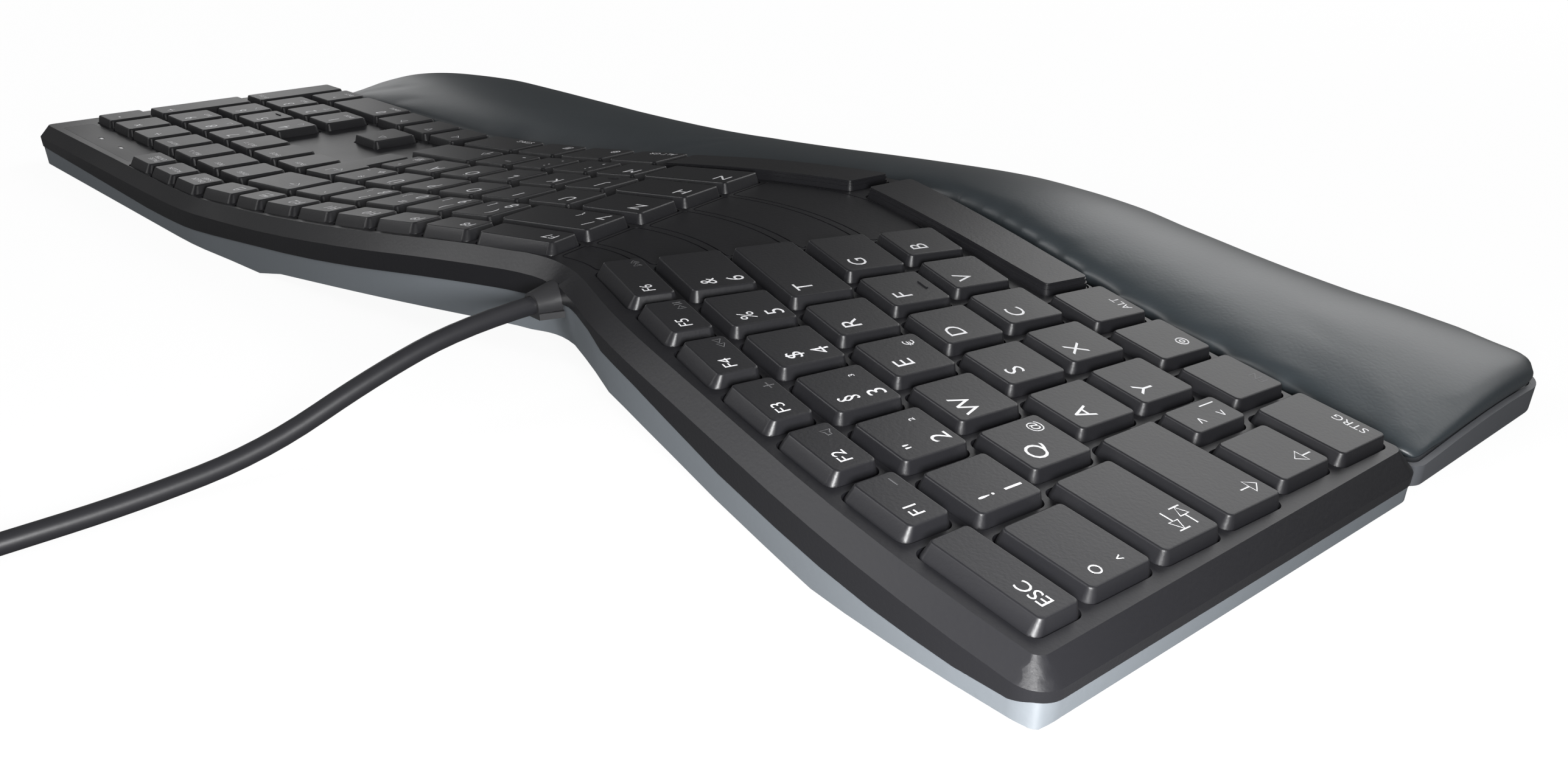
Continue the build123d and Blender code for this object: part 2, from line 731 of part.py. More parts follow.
def make_relief():
    """Tapered boot on the rear wall, with a flat sole, a neck through the wall and a flange inside."""
    face_y = rear_curve[5][1]
    bore = cable_diameter / 2
    inner = face_y - rim_wall - flange_gap
    tip_y = face_y + relief_long
    outer = [(bore, inner - flange_thick), (relief_flange, inner - flange_thick), (relief_flange, inner),
             (relief_neck, inner), (relief_neck, face_y), (relief_root, face_y + 0.1), (relief_tip, tip_y),
             (bore, tip_y)]
    profile = Face(Wire(Polyline(*[(cable_x + r, y) for r, y in outer], close=True)))
    profile = profile.moved(Location((0, 0, cable_z)))
    boot = revolve(profile, Axis((cable_x, 0, cable_z), (0, 1, 0)), 360)
    half_root, half_tip, high = relief_sole
    low = cable_z - relief_tip
    ends = []
    for y, half in ((face_y + 0.1, half_root), (tip_y, half_tip)):
        ends.append(Plane(origin=(cable_x, y, low + high / 2), x_dir=(1, 0, 0), z_dir=(0, 1, 0))
                    * Rectangle(2 * half, high))
    sole = loft(ends) - Pos(cable_x, tip_y, cable_z) * Rot(90, 0, 0) * Cylinder(bore, 40)
    under = Pos(cable_x, face_y + 20, low - 10) * Box(40, 40, 20)
    return boot - under + sole


def relief_hole():
    """Opening through the rear wall for the boot, wider inside for its flange and outside for its root."""
    face_y = rear_curve[5][1]
    inner = face_y - rim_wall - flange_gap
    hole = Pos(cable_x, face_y - 3, cable_z) * Rot(90, 0, 0) * Cylinder(relief_neck, 20)
    flange = Pos(cable_x, inner - 4, cable_z) * Rot(90, 0, 0) * Cylinder(relief_flange + 0.2, 8)
    root = Pos(cable_x, face_y + 5, cable_z) * Rot(90, 0, 0) * Cylinder(relief_root, 10)
    return hole + flange + root


# Cable

def run_radii(points):
    """Bend radius at each inner point of a route."""
    radii = []
    for before, here, after in zip(points, points[1:], points[2:]):
        first = Vector(*here) - Vector(*before)
        second = Vector(*after) - Vector(*here)
        half = math.radians(first.get_angle(second) / 2)
        radii.append(0.45 * min(first.length, second.length) / math.tan(half))
    return radii


def make_cable():
    """Free stretch of the cable from its socket to the coil."""
    radii = run_radii(cable_points)
    print("cable bend radii", [round(r, 1) for r in radii])
    path = FilletPolyline(*cable_points, radius=radii)
    start = Vector(*cable_points[0])
    heading = (Vector(*cable_points[1]) - start).normalized()
    section = Plane(origin=start, z_dir=heading) * Circle(cable_diameter / 2)
    tube = sweep(section, path=path)
    area = math.pi * (cable_diameter / 2) ** 2
    print("cable stretch", round(path.length, 1), "volume ratio", round(tube.volume / (area * path.length), 4))
    return tube, path.length


def arc_between(start, heading, end):
    """Arc from start, along heading, to end."""
    chord = end - start
    unit = chord.normalized()
    side = heading - unit * heading.dot(unit)
    if side.length < 1e-6:
        return Line(start, end)
    angle = math.radians(heading.get_angle(chord))
    rise = chord.length / 2 * math.tan(angle / 2)
    return ThreePointArc(start, start + chord * 0.5 + side.normalized() * rise, end)


def biarc(start, heading, end, arrival):
    """Two tangent arcs between two points with given headings."""
    gap = end - start
    both = heading + arrival
    square = 2 * (1 - heading.dot(arrival))
    if square < 1e-9:
        reach = gap.length / 4
    else:
        reach = (-gap.dot(both) + math.sqrt(gap.dot(both) ** 2 + square * gap.dot(gap))) / square
    middle = (start + heading * reach + end - arrival * reach) * 0.5
    first = arc_between(start, heading, middle)
    return [first, arc_between(middle, first % 1, end)]


def coil_plan(stretch_length):
    """Radii and turns of the coil that take up the rest of the cable."""
    left = cable_length - stretch_length
    middle = coil_middle_diameters * cable_diameter / 2
    turns = left / (2 * math.pi * middle)
    quarters = round(turns * 4 - 1) // 4 * 4 + 1
    per_layer = (quarters - 2) / 4 / coil_layers
    outer = middle + per_layer * coil_step / 2
    return quarters, per_layer, outer


def coil_spots(quarters, per_layer, outer, ticks):
    """Points and headings along the coil's turns."""
    rise = cable_diameter + 0.5
    inward = per_layer * math.pi * 2
    climb = math.pi
    end_x, end_y, end_z = cable_points[-1]
    middle_x = end_x + outer
    middle_y = end_y + 2 * cable_diameter
    def spot(theta):
        if theta <= inward:
            radius = outer - coil_step * theta / (2 * math.pi)
            z = end_z
        elif theta <= inward + climb:
            radius = outer - coil_step * per_layer
            share = (theta - inward) / climb
            radius -= coil_dip * 16 * (share * (1 - share)) ** 2
            z = end_z + rise * share * share * (3 - 2 * share)
        else:
            radius = outer - coil_step * (per_layer - (theta - inward - climb) / (2 * math.pi))
            z = end_z + rise
        angle = math.pi - theta
        return Vector(middle_x + radius * math.cos(angle), middle_y + radius * math.sin(angle), z)
    spots = []
    total = quarters * math.pi / 2
    for index in range(quarters * ticks + 1):
        theta = total * index / (quarters * ticks)
        low = max(theta - 1e-4, 0)
        high = min(theta + 1e-4, total)
        spots.append((spot(theta), (spot(high) - spot(low)).normalized()))
    return spots


def make_coil(stretch_length):
    """Coil of the rest of the cable, and the place and heading of the plug."""
    quarters, per_layer, outer = coil_plan(stretch_length)
    spots = coil_spots(quarters, per_layer, outer, 1)
    begin = Vector(*cable_points[-1])
    edges = [Line(begin, spots[0][0])]
    for (start, heading), (end, arrival) in zip(spots, spots[1:]):
        edges += biarc(start, heading, end, arrival)
    last, heading = spots[-1]
    heading = (edges[-1] % 1)
    heading = Vector(heading.X, heading.Y, 0).normalized()
    run = last + heading * tail_straight
    edges.append(Line(last, run))
    low = Vector(run.X, run.Y, plug_body[1] / 2) + heading * tail_drop_run
    edges += biarc(run, heading, low, heading)
    stop = low + heading * cable_diameter
    edges.append(Line(low, stop))
    path = Wire(edges)
    section = Plane(origin=begin, z_dir=edges[0] % 0) * Circle(cable_diameter / 2)
    tube = sweep(section, path=path)
    area = math.pi * (cable_diameter / 2) ** 2
    print("coil turns", quarters / 4, "length", round(path.length, 1), "outer radius", round(outer, 1),
          "volume ratio", round(tube.volume / (area * path.length), 4))
    print("coil least gap", round(least_gap(edges[1:-4]), 2))
    return tube, stop, heading


def least_gap(edges):
    """Least gap of a wound tube to itself, on points along its path."""
    spots = []
    for edge in edges:
        steps = max(int(edge.length / 2), 1)
        spots += [edge @ (index / steps) for index in range(steps)]
    apart = 12
    least = math.inf
    for index, here in enumerate(spots):
        for other in spots[index + apart:]:
            least = min(least, (here - other).length)
    return least - cable_diameter


def make_plug(stop, heading):
    """Moulded body and metal shell of the plug, lying on the desk."""
    plane = Plane(origin=stop + heading * 0.05, x_dir=Vector(0, 0, 1).cross(heading), z_dir=heading)
    wide, high, long = plug_body
    neck_wide, neck_high, neck_long = plug_neck
    grip = RectangleRounded(wide, high, plug_round)
    body = loft([RectangleRounded(neck_wide, neck_high, plug_round - 0.4), Pos(0, 0, neck_long) * grip])
    body += Pos(0, 0, neck_long) * extrude(grip, amount=long - neck_long)
    shell_wide, shell_high, shell_long = plug_shell
    shell = Pos(0, 0, long + shell_long / 2) * Box(shell_wide, shell_high, shell_long)
    shell -= Pos(0, 0.55, long + shell_long / 2 + 1) * Box(shell_wide - 0.8, plug_mouth, shell_long)
    for side in (-1, 1):
        shell -= Pos(side * 2.8, shell_high / 2, long + 6.5) * Box(2.2, 1.2, 2.2)
    return plane.location * body, plane.location * shell


# Wrist rest

def crown(lower, radius):
    """Everything under the arched top of the wrist rest, lowered by lower and bent to radius."""
    sections = []
    near, far = crest_y - 50, crest_y + 60
    for x, height in crest_heights:
        def at(y):
            return (x, y, height - lower - (y - crest_y) ** 2 / (2 * radius))
        edges = [ThreePointArc(at(near), at((near + far) / 2), at(far)), Line(at(far), (x, far, -30)),
                 Line((x, far, -30), (x, near, -30)), Line((x, near, -30), at(near))]
        sections.append(Face(Wire(edges)))
    return loft(sections)


def crest_height(x):
    """Height of the crest at x, between the measured places."""
    for (left, low), (right, high) in zip(crest_heights, crest_heights[1:]):
        if left <= x <= right:
            return low + (high - low) * (x - left) / (right - left)
    return crest_heights[0][1] if x < 0 else crest_heights[-1][1]


def rest_outline(inset):
    """Plan face of the wrist rest, drawn in by inset."""
    rear = drawn_in([(x, y - rest_gap) for x, y in reversed(front_curve)], (1, -0.05), (1, 0), inset)
    front = drawn_in(rest_front_curve, (-1, -0.05), (-1, 0.12), inset)
    rear_edge = Spline(rear, tangents=[(1, -0.05), (1, 0)])
    front_edge = Spline(front, tangents=[(-1, -0.05), (-1, 0.12)])
    side = rest_side_x - inset
    rear_right = (side, front_flat_y - rest_gap - inset)
    rear_left = (-side, front_left_y - rest_gap - inset)
    front_right = (side, rest_front_y + inset)
    front_left = (-side, rest_front_y + inset)
    edges = [rear_edge, Line(rear[-1], rear_right), Line(rear_right, front_right),
             Line(front_right, front[0]), front_edge, Line(front[-1], front_left),
             Line(front_left, rear_left), Line(rear_left, rear[0])]
    face = Face(Wire(edges))
    corners = [v for v in face.vertices() if abs(v.X) > side - 0.5]
    front_corners = [v for v in corners if v.Y < crest_y]
    face = fillet(front_corners, max(rest_round - inset, 1.0))
    rear_corners = [v for v in face.vertices() if abs(v.X) > side - 0.5 and v.Y > crest_y + 30]
    return fillet(rear_corners, max(rest_rear_round - inset, 1.0))


def cushion_section(x, outline, sink):
    """Section of the cushion at x: crowned top sunk by sink, round shoulders, sides drawn in below."""
    span = (outline & Line((x, rest_front_y - 60, 0), (x, crest_y + 80, 0))).bounding_box()
    near, far = span.min.Y, span.max.Y
    bend = min(cushion_shoulder, (cushion_thick - sink) / 2)
    turn = bend * (1 - math.sqrt(0.5))
    def top(y):
        return crest_height(x) - sink - (y - crest_y) ** 2 / (2 * crown_radius)
    near_top, far_top = top(near + bend), top(far - bend)
    low = crest_height(x) - cushion_thick - 1.0
    near_low = (x, near + cushion_draw, low - (near - crest_y) ** 2 / (2 * seat_radius))
    far_low = (x, far - cushion_draw, low - (far - crest_y) ** 2 / (2 * seat_radius))
    middle = (near + far) / 2
    edges = [ThreePointArc((x, near + bend, near_top), (x, middle, top(middle)), (x, far - bend, far_top)),
             ThreePointArc((x, far - bend, far_top), (x, far - turn, far_top - turn), (x, far, far_top - bend)),
             Line((x, far, far_top - bend), far_low), Line(far_low, near_low),
             Line(near_low, (x, near, near_top - bend)),
             ThreePointArc((x, near, near_top - bend), (x, near + turn, near_top - turn), (x, near + bend, near_top))]
    return Face(Wire(edges))


def make_cushion():
    """Cushion as a loft along its length, with rounded ends, seated on the tray."""
    outline = rest_outline(rest_lip + cushion_gap)
    end = rest_side_x - rest_lip - cushion_gap
    inner = end - cushion_end
    places = [-inner] + [x for x, _ in crest_heights if abs(x) < inner - 4] + [inner]
    body = loft([cushion_section(x, outline, 0.0) for x in places])
    for side in (-1, 1):
        steps = []
        for share in (1.0, 0.7, 0.4, 0.15, 0.02):
            away = cushion_end * (1 - share)
            sink = cushion_shoulder * (1 - math.sqrt(1 - min(away / cushion_end, 0.98) ** 2))
            steps.append(cushion_section(side * (inner + away), outline, sink))
        body += loft(steps, ruled=True)
    return body - crown(cushion_thick, seat_radius)


def make_rest():
    """Tray and cushion of the wrist rest."""
    body = upright(rest_outline(0), -20, 60) & crown(rest_lip_drop, seat_radius) & above_underside(0)
    body -= upright(rest_outline(rest_lip), -20, 60) - crown(cushion_thick, seat_radius)
    hollow = upright(rest_outline(rest_lip + rest_wall), -20, 60) & crown(cushion_thick + rest_skin, seat_radius)
    ribs = [Pos(x, crest_y, 0) * Box(rest_rib, 120, 80) for x in rest_ribs]
    body -= hollow - ribs
    return body, make_cushion()


def make_feet():
    """Rubber pads, set into the underside."""
    long, deep, thick = foot_pad
    pads = []
    for x, y in foot_places:
        pads.append(Pos(x, y, 0) * extrude(RectangleRounded(long, deep, foot_round), amount=thick))
    return pads


caps, wells, stems = make_keys()
print("keys", sum(len(group) for group in caps.values()), "in", len(caps), "nodes")
parts = {}
for node, group in caps.items():
    parts[node] = group[0] if len(group) == 1 else Compound(children=list(group))
parts["top_case"] = make_top_case(wells) - relief_hole()
feet = make_feet()
parts["bottom_case"] = (make_bottom_case() - relief_hole()) - feet
parts["rubber_feet"] = Compound(children=feet)
parts["case_screws"] = Compound(children=make_screws())
parts["dome_sheet"] = make_dome_sheet(stems)
membrane_drop = dome_drop + dome_thick
plate_drop = membrane_drop + membrane_thick
parts["membrane"] = sheet(membrane_drop, plate_drop, 0.5)
parts["backing_plate"] = sheet(plate_drop, plate_drop + plate_thick, 0.5)
parts["controller_board"] = make_board()
parts["indicator_window"] = make_window()
parts["indicator_lights"] = Compound(children=make_lights())
parts["strain_relief"] = make_relief()
parts["usb_cable"], stretch = make_cable()
parts["usb_cable_coil"], plug_at, plug_heading = make_coil(stretch)
parts["usb_plug_body"], parts["usb_plug_shell"] = make_plug(plug_at, plug_heading)
parts["palm_rest_tray"], parts["palm_rest_cushion"] = make_rest()

cord_names = ("usb_cable", "usb_cable_coil", "usb_plug_body", "usb_plug_shell")
boxes = [shape.bounding_box() for name, shape in parts.items() if name not in cord_names]
shift_x = -(min(b.min.X for b in boxes) + max(b.max.X for b in boxes)) / 2
shift_y = -(min(b.min.Y for b in boxes) + max(b.max.Y for b in boxes)) / 2
print("moved by", round(shift_x, 3), round(shift_y, 3), "low", round(min(b.min.Z for b in boxes), 3))
for name, shape in parts.items():
    export_step(shape.moved(Location((shift_x, shift_y, 0))), "parts/" + name + ".step")
    print(name, len(shape.solids()), round(shape.volume, 1), shape.is_valid)
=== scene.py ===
"""Split-layout keyboard with a padded wrist rest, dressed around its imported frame."""

import logging
import math
from collections.abc import Callable
from dataclasses import dataclass, field
from enum import Enum

import bmesh
import bpy
from mathutils import Matrix, Vector
from mathutils.bvhtree import BVHTree


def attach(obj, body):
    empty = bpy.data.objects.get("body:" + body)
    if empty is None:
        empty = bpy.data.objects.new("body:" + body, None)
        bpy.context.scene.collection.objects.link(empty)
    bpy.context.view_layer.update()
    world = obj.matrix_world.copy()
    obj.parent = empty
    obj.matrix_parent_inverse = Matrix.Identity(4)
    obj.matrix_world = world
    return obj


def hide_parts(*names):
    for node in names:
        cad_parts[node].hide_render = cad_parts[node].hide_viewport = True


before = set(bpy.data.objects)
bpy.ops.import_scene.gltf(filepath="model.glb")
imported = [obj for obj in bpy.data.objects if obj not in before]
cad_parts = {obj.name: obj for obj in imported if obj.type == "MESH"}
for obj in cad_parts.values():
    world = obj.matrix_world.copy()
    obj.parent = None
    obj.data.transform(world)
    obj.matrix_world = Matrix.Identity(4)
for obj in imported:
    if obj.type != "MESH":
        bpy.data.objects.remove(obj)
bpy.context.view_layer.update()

log = logging.getLogger("keyboard")
Form = bmesh.types.BMesh
Pairs = tuple[tuple[float, float], ...]
Triple = tuple[float, float, float]
MM = 0.001
BROAD_SCALE = 14.0
FINE_SCALE = 400.0
CLUMP_SCALE = 90.0
CELL_SCALE = 700.0
BRUSH_SCALE = (40.0, 900.0, 900.0)
GLOSS_SPREAD = 0.12
# Gain of the painted edge light: convex edges get a painted highlight, hollows painted shade.
EDGE_LIGHT_AND_SHADE_GAIN = 6.0
SAME_SPOT = 1e-6


class Grain(Enum):
    """Surface texture of a finish."""

    SMOOTH = "smooth"
    SPARK = "spark"
    HIDE = "hide"
    BRUSHED = "brushed"
    MOTTLED = "mottled"


class Signal:
    """A socket whose operators add Math nodes."""

    def __init__(self, tree: bpy.types.NodeTree, socket: object) -> None:
        """Wrap a socket or a plain number.

        Args:
            tree: node tree that the Math nodes go into.
            socket: output socket or number.
        """
        self.tree = tree
        self.socket = socket

    def _math(self, operation: str, left: object, right: object) -> "Signal":
        """Add one Math node.

        Args:
            operation: the node's operation.
            left: first value, a Signal or a number.
            right: second value, a Signal or a number.

        Returns:
            The node's output.
        """
        node = self.tree.nodes.new("ShaderNodeMath")
        node.operation = operation
        for index, value in enumerate((left, right)):
            if isinstance(value, Signal):
                self.tree.links.new(value.socket, node.inputs[index])
            else:
                node.inputs[index].default_value = value
        return Signal(self.tree, node.outputs[0])

    def __add__(self, other: object) -> "Signal":
        """Sum."""
        return self._math("ADD", self, other)

    __radd__ = __add__

    def __mul__(self, other: object) -> "Signal":
        """Product."""
        return self._math("MULTIPLY", self, other)

    __rmul__ = __mul__

    def __sub__(self, other: object) -> "Signal":
        """Difference."""
        return self._math("SUBTRACT", self, other)

    def __rsub__(self, other: object) -> "Signal":
        """Difference from a plain number."""
        return self._math("SUBTRACT", other, self)


def add_node(tree: bpy.types.NodeTree, kind: str, settings: dict | None = None,
             inputs: dict | None = None) -> bpy.types.Node:
    """Add a node.

    Args:
        tree: node tree it goes into.
        kind: Blender's name of the node's type.
        settings: properties set before the sockets.
        inputs: values, sockets or signals for its inputs, by name or number.

    Returns:
        The node.
    """
    node = tree.nodes.new(kind)
    for key, value in (settings or {}).items():
        setattr(node, key, value)
    for key, value in (inputs or {}).items():
        socket = node.inputs[key]
        if isinstance(value, Signal):
            tree.links.new(value.socket, socket)
        elif isinstance(value, bpy.types.NodeSocket):
            tree.links.new(value, socket)
        else:
            socket.default_value = value
    return node


def empty_tree(owner: bpy.types.Material | bpy.types.World) -> bpy.types.NodeTree:
    """Node tree of a material or world, with nothing in it.

    Args:
        owner: the material or world.

    Returns:
        The tree.
    """
    owner.use_nodes = True
    owner.node_tree.nodes.clear()
    return owner.node_tree


@dataclass(frozen=True)
class Finish:
    """A material: its colour, gloss and texture."""

    name: str
    color: Triple
    roughness: float = 0.5
    grain: Grain = Grain.SPARK
    grain_size: float = 0.35
    grain_depth: float = 0.08
    mottle: float = 0.06
    metallic: float = 0.0
    # Strength of the painted highlights on convex edges and painted shade in hollows.
    edge_light_and_shade: float = 0.0
    specular: float = 0.5

    def build(self) -> bpy.types.Material:
        """Make the material once, under a name that the frame's own materials don't have.

        Returns:
            The material.
        """
        name = "look_" + self.name
        known = bpy.data.materials.get(name)
        if known:
            return known
        material = bpy.data.materials.new(name)
        tree = empty_tree(material)
        place = add_node(tree, "ShaderNodeTexCoord").outputs["Object"]
        broad = self._noise(tree, place, BROAD_SCALE, 3.0)
        fine = self._noise(tree, place, FINE_SCALE / self.grain_size, 2.0)
        dark = tuple(c * (1 - self.mottle * 2) for c in self.color) + (1.0,)
        light = tuple(min(c * (1 + self.mottle * 2), 1.0) for c in self.color) + (1.0,)
        share = broad * 0.7 + fine * 0.3
        # Lighten convex edges as a painted highlight and darken hollows as painted shade.
        if self.edge_light_and_shade:
            share = share + self._painted_edge_light(tree) * self.edge_light_and_shade
        tint = add_node(tree, "ShaderNodeMix", {"data_type": "RGBA"}, {0: share, 6: dark, 7: light})
        inputs = {"Base Color": tint.outputs[2], "Metallic": self.metallic,
                  "Roughness": self.roughness - GLOSS_SPREAD / 2 + broad * GLOSS_SPREAD,
                  "Specular IOR Level": self.specular}
        height = self._height(tree, place, fine)
        if height is not None:
            bump = add_node(tree, "ShaderNodeBump", {}, {
                "Strength": 1.0, "Distance": self.grain_depth * MM, "Height": height})
            inputs["Normal"] = bump.outputs[0]
        shader = add_node(tree, "ShaderNodeBsdfPrincipled", {}, inputs)
        add_node(tree, "ShaderNodeOutputMaterial", {}, {0: shader.outputs[0]})
        return material

    def _noise(self, tree: bpy.types.NodeTree, place: object, scale: float, detail: float) -> Signal:
        """Noise over the object's own coordinates.

        Args:
            tree: node tree it goes into.
            place: socket with the coordinates.
            scale: how many lumps stand in a metre.
            detail: octaves of smaller lumps.

        Returns:
            The noise, from 0 to 1.
        """
        node = add_node(tree, "ShaderNodeTexNoise", {}, {
            "Vector": place, "Scale": scale, "Detail": detail, "Roughness": 0.55})
        return Signal(tree, node.outputs["Fac"])

    def _painted_edge_light(self, tree: bpy.types.NodeTree) -> Signal:
        """Mask that paints highlights on convex edges and shade in hollows, from the mesh's pointiness."""
        node = add_node(tree, "ShaderNodeNewGeometry")
        return (Signal(tree, node.outputs["Pointiness"]) - 0.5) * EDGE_LIGHT_AND_SHADE_GAIN

    def _height(self, tree: bpy.types.NodeTree, place: object, fine: Signal) -> Signal | None:
        """Height that the bump follows.

        Args:
            tree: node tree it goes into.
            place: socket with the object's coordinates.
            fine: the finish's fine noise.

        Returns:
            The height, or None on a smooth finish.
        """
        if self.grain is Grain.SMOOTH:
            return None
        if self.grain is Grain.HIDE:
            cells = add_node(tree, "ShaderNodeTexVoronoi", {"feature": "DISTANCE_TO_EDGE"}, {
                "Vector": place, "Scale": CELL_SCALE / self.grain_size})
            return Signal(tree, cells.outputs["Distance"]) * 0.8 + fine * 0.6
        if self.grain is Grain.BRUSHED:
            stretch = add_node(tree, "ShaderNodeMapping", {}, {"Vector": place, "Scale": BRUSH_SCALE})
            return self._noise(tree, stretch.outputs[0], 4.0, 3.0)
        if self.grain is Grain.MOTTLED:
            return fine * 0.5 + self._noise(tree, place, CLUMP_SCALE / self.grain_size, 2.0) * 0.5
        return fine

    def dress(self, piece: bpy.types.Object) -> None:
        """Put the material on a piece, in place of any it has."""
        piece.data.materials.clear()
        piece.data.materials.append(self.build())


# The keys and the case carry painted highlights on their edges and painted shade in their hollows.
KEY_BLACK = Finish("key_black", (0.012, 0.012, 0.014), 0.42, grain_size=0.3, grain_depth=0.03, edge_light_and_shade=0.05)
CASE_BLACK = Finish("case_black", (0.011, 0.011, 0.013), 0.4, grain_size=0.35, grain_depth=0.03, edge_light_and_shade=0.04,
                    specular=0.4)
BASE_GREY = Finish("base_grey", (0.15, 0.166, 0.182), 0.55, grain_size=0.5, grain_depth=0.04, mottle=0.03)
# A darker copy of the base's grey, which paints the shade on the tray's end wall.
SHADED_TRAY_GREY = Finish("tray_grey", (0.09, 0.095, 0.105), 0.55, grain_size=0.5, grain_depth=0.04, mottle=0.03)
REST_SKIN = Finish("rest_skin", (0.034, 0.042, 0.048), 0.4, Grain.HIDE, 1.0, 0.03, 0.05, specular=0.65)
PRINT_WHITE = Finish("print_white", (0.8, 0.8, 0.82), 0.5, Grain.SPARK, 0.2, 0.01, 0.02)
PRINT_DIM = Finish("print_dim", (0.1, 0.1, 0.105), 0.5, Grain.SPARK, 0.2, 0.01, 0.02)
BOOT_BLACK = Finish("boot_black", (0.03, 0.03, 0.032), 0.38, Grain.MOTTLED, 0.6, 0.02, specular=0.6)
CORD_BLACK = Finish("cord_black", (0.02, 0.02, 0.023), 0.45, Grain.MOTTLED, 0.6, 0.04)
RUBBER_GREY = Finish("rubber_grey", (0.05, 0.05, 0.052), 0.75, Grain.MOTTLED, 0.5, 0.08)
SILICONE = Finish("silicone", (0.55, 0.56, 0.54), 0.5, Grain.MOTTLED, 0.6, 0.03)
FILM = Finish("film", (0.6, 0.63, 0.6), 0.3, Grain.MOTTLED, 1.0, 0.01)
SHEET_STEEL = Finish("sheet_steel", (0.5, 0.5, 0.5), 0.35, Grain.BRUSHED, 1.0, 0.01, metallic=1.0)
SCREW_STEEL = Finish("screw_steel", (0.45, 0.45, 0.46), 0.3, Grain.BRUSHED, 1.0, 0.01, metallic=1.0)
PLUG_STEEL = Finish("plug_steel", (0.62, 0.62, 0.62), 0.22, Grain.BRUSHED, 1.0, 0.01, metallic=1.0)
BOARD_GREEN = Finish("board_green", (0.03, 0.16, 0.07), 0.4, Grain.MOTTLED, 1.0, 0.02)
WINDOW_BLACK = Finish("window_black", (0.012, 0.012, 0.014), 0.42, Grain.SPARK, 0.3, 0.02, specular=0.35)
LIGHT_GUIDE = Finish("light_guide", (0.006, 0.006, 0.007), 0.2, Grain.SMOOTH)


def link_piece(name: str, data: bpy.types.ID) -> bpy.types.Object:
    """Put a mesh, curve, lamp or camera in the scene, at the origin.

    Args:
        name: the object's name.
        data: what it shows.

    Returns:
        The object.
    """
    piece = bpy.data.objects.new(name, data)
    bpy.context.scene.collection.objects.link(piece)
    return piece


def new_mesh(name: str, form: Form) -> bpy.types.Mesh:
    """Mesh of a form, which is then freed.

    Args:
        name: the mesh's name.
        form: its faces.

    Returns:
        The mesh.
    """
    mesh = bpy.data.meshes.new(name)
    form.to_mesh(mesh)
    form.free()
    return mesh


def final_mesh(piece: bpy.types.Object) -> bpy.types.Mesh:
    """Mesh that an object's curve or modifiers make.

    Args:
        piece: object in the scene.

    Returns:
        A new mesh.
    """
    bpy.context.view_layer.update()
    return bpy.data.meshes.new_from_object(piece.evaluated_get(bpy.context.evaluated_depsgraph_get()))


def smooth_by_angle(form: Form, limit: float) -> None:
    """Shade smooth, except over sharp edges.

    Args:
        form: the form to shade.
        limit: angle in degrees over which an edge stays sharp.
    """
    for face in form.faces:
        face.smooth = True
    for edge in form.edges:
        edge.smooth = len(edge.link_faces) == 2 and edge.calc_face_angle(0.0) < math.radians(limit)


def merged_form(node: str) -> Form:
    """Copy of a CAD node's mesh with its triangles joined.

    Args:
        node: the CAD node.

    Returns:
        The form, which the caller frees.
    """
    form = bmesh.new()
    form.from_mesh(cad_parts[node].data)
    bmesh.ops.remove_doubles(form, verts=form.verts, dist=SAME_SPOT)
    return form


def dressed_copy(node: str, body: str, finish: Finish, limit: float = 35.0,
                 shape: Callable[[Form], None] | None = None) -> bpy.types.Object:
    """Smoothly shaded copy of a CAD node that stands for it.

    Args:
        node: the CAD node.
        body: the body it rides on.
        finish: its material.
        limit: angle in degrees over which an edge stays sharp.
        shape: last change to the copy's form, if it has one.

    Returns:
        The piece.
    """
    form = merged_form(node)
    if shape:
        shape(form)
    smooth_by_angle(form, limit)
    piece = link_piece(node + "_skin", new_mesh(node + "_skin", form))
    weigh = piece.modifiers.new("even", "WEIGHTED_NORMAL")
    weigh.keep_sharp = True
    finish.dress(piece)
    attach(piece, body)
    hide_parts(node)
    return piece


def between(table: Pairs, place: float) -> float:
    """Value at a place, straight between the rows of a table.

    Args:
        table: rows of place and value, in rising order.
        place: where the value is wanted.

    Returns:
        The value, which past the table's ends is that of its first or last row.
    """
    for (left, low), (right, high) in zip(table, table[1:]):
        if place <= right:
            return low + (high - low) * max(place - left, 0.0) / (right - left)
    return table[-1][1]


def outer_wall(form: Form) -> dict[bmesh.types.BMVert, Vector]:
    """Corners of a shell's outer wall, from which nothing else of the shell lies further out.

    Args:
        form: the shell.

    Returns:
        For each corner its level direction out of the shell.
    """
    steepest, inset, clear, smallest = 0.5, 0.25 * MM, 0.05 * MM, 1e-12
    tree = BVHTree.FromBMesh(form)
    found = {}
    for vert in form.verts:
        walls = [face for face in vert.link_faces if abs(face.normal.z) < steepest]
        out = sum((face.normal * face.calc_area() for face in walls), Vector())
        out.z = 0.0
        if out.length < smallest:
            continue
        out.normalize()
        start = vert.co + out * clear + Vector((0.0, 0.0, inset if vert.normal.z < 0 else -inset))
        if tree.ray_cast(start, out)[0] is None:
            found[vert] = out
    return found


@dataclass(frozen=True)
class Lamp:
    """Soft square lamp aimed at the keyboard: its place and side in metres, and its watts."""

    name: str
    place: Triple
    side: float
    power: float

    def build(self) -> None:
        """Hang the lamp."""
        data = bpy.data.lights.new(self.name, "AREA")
        data.size = self.side
        data.energy = self.power
        lamp = link_piece(self.name, data)
        lamp.location = self.place
        lamp.rotation_euler = (-Vector(self.place)).to_track_quat("-Z", "Y").to_euler()


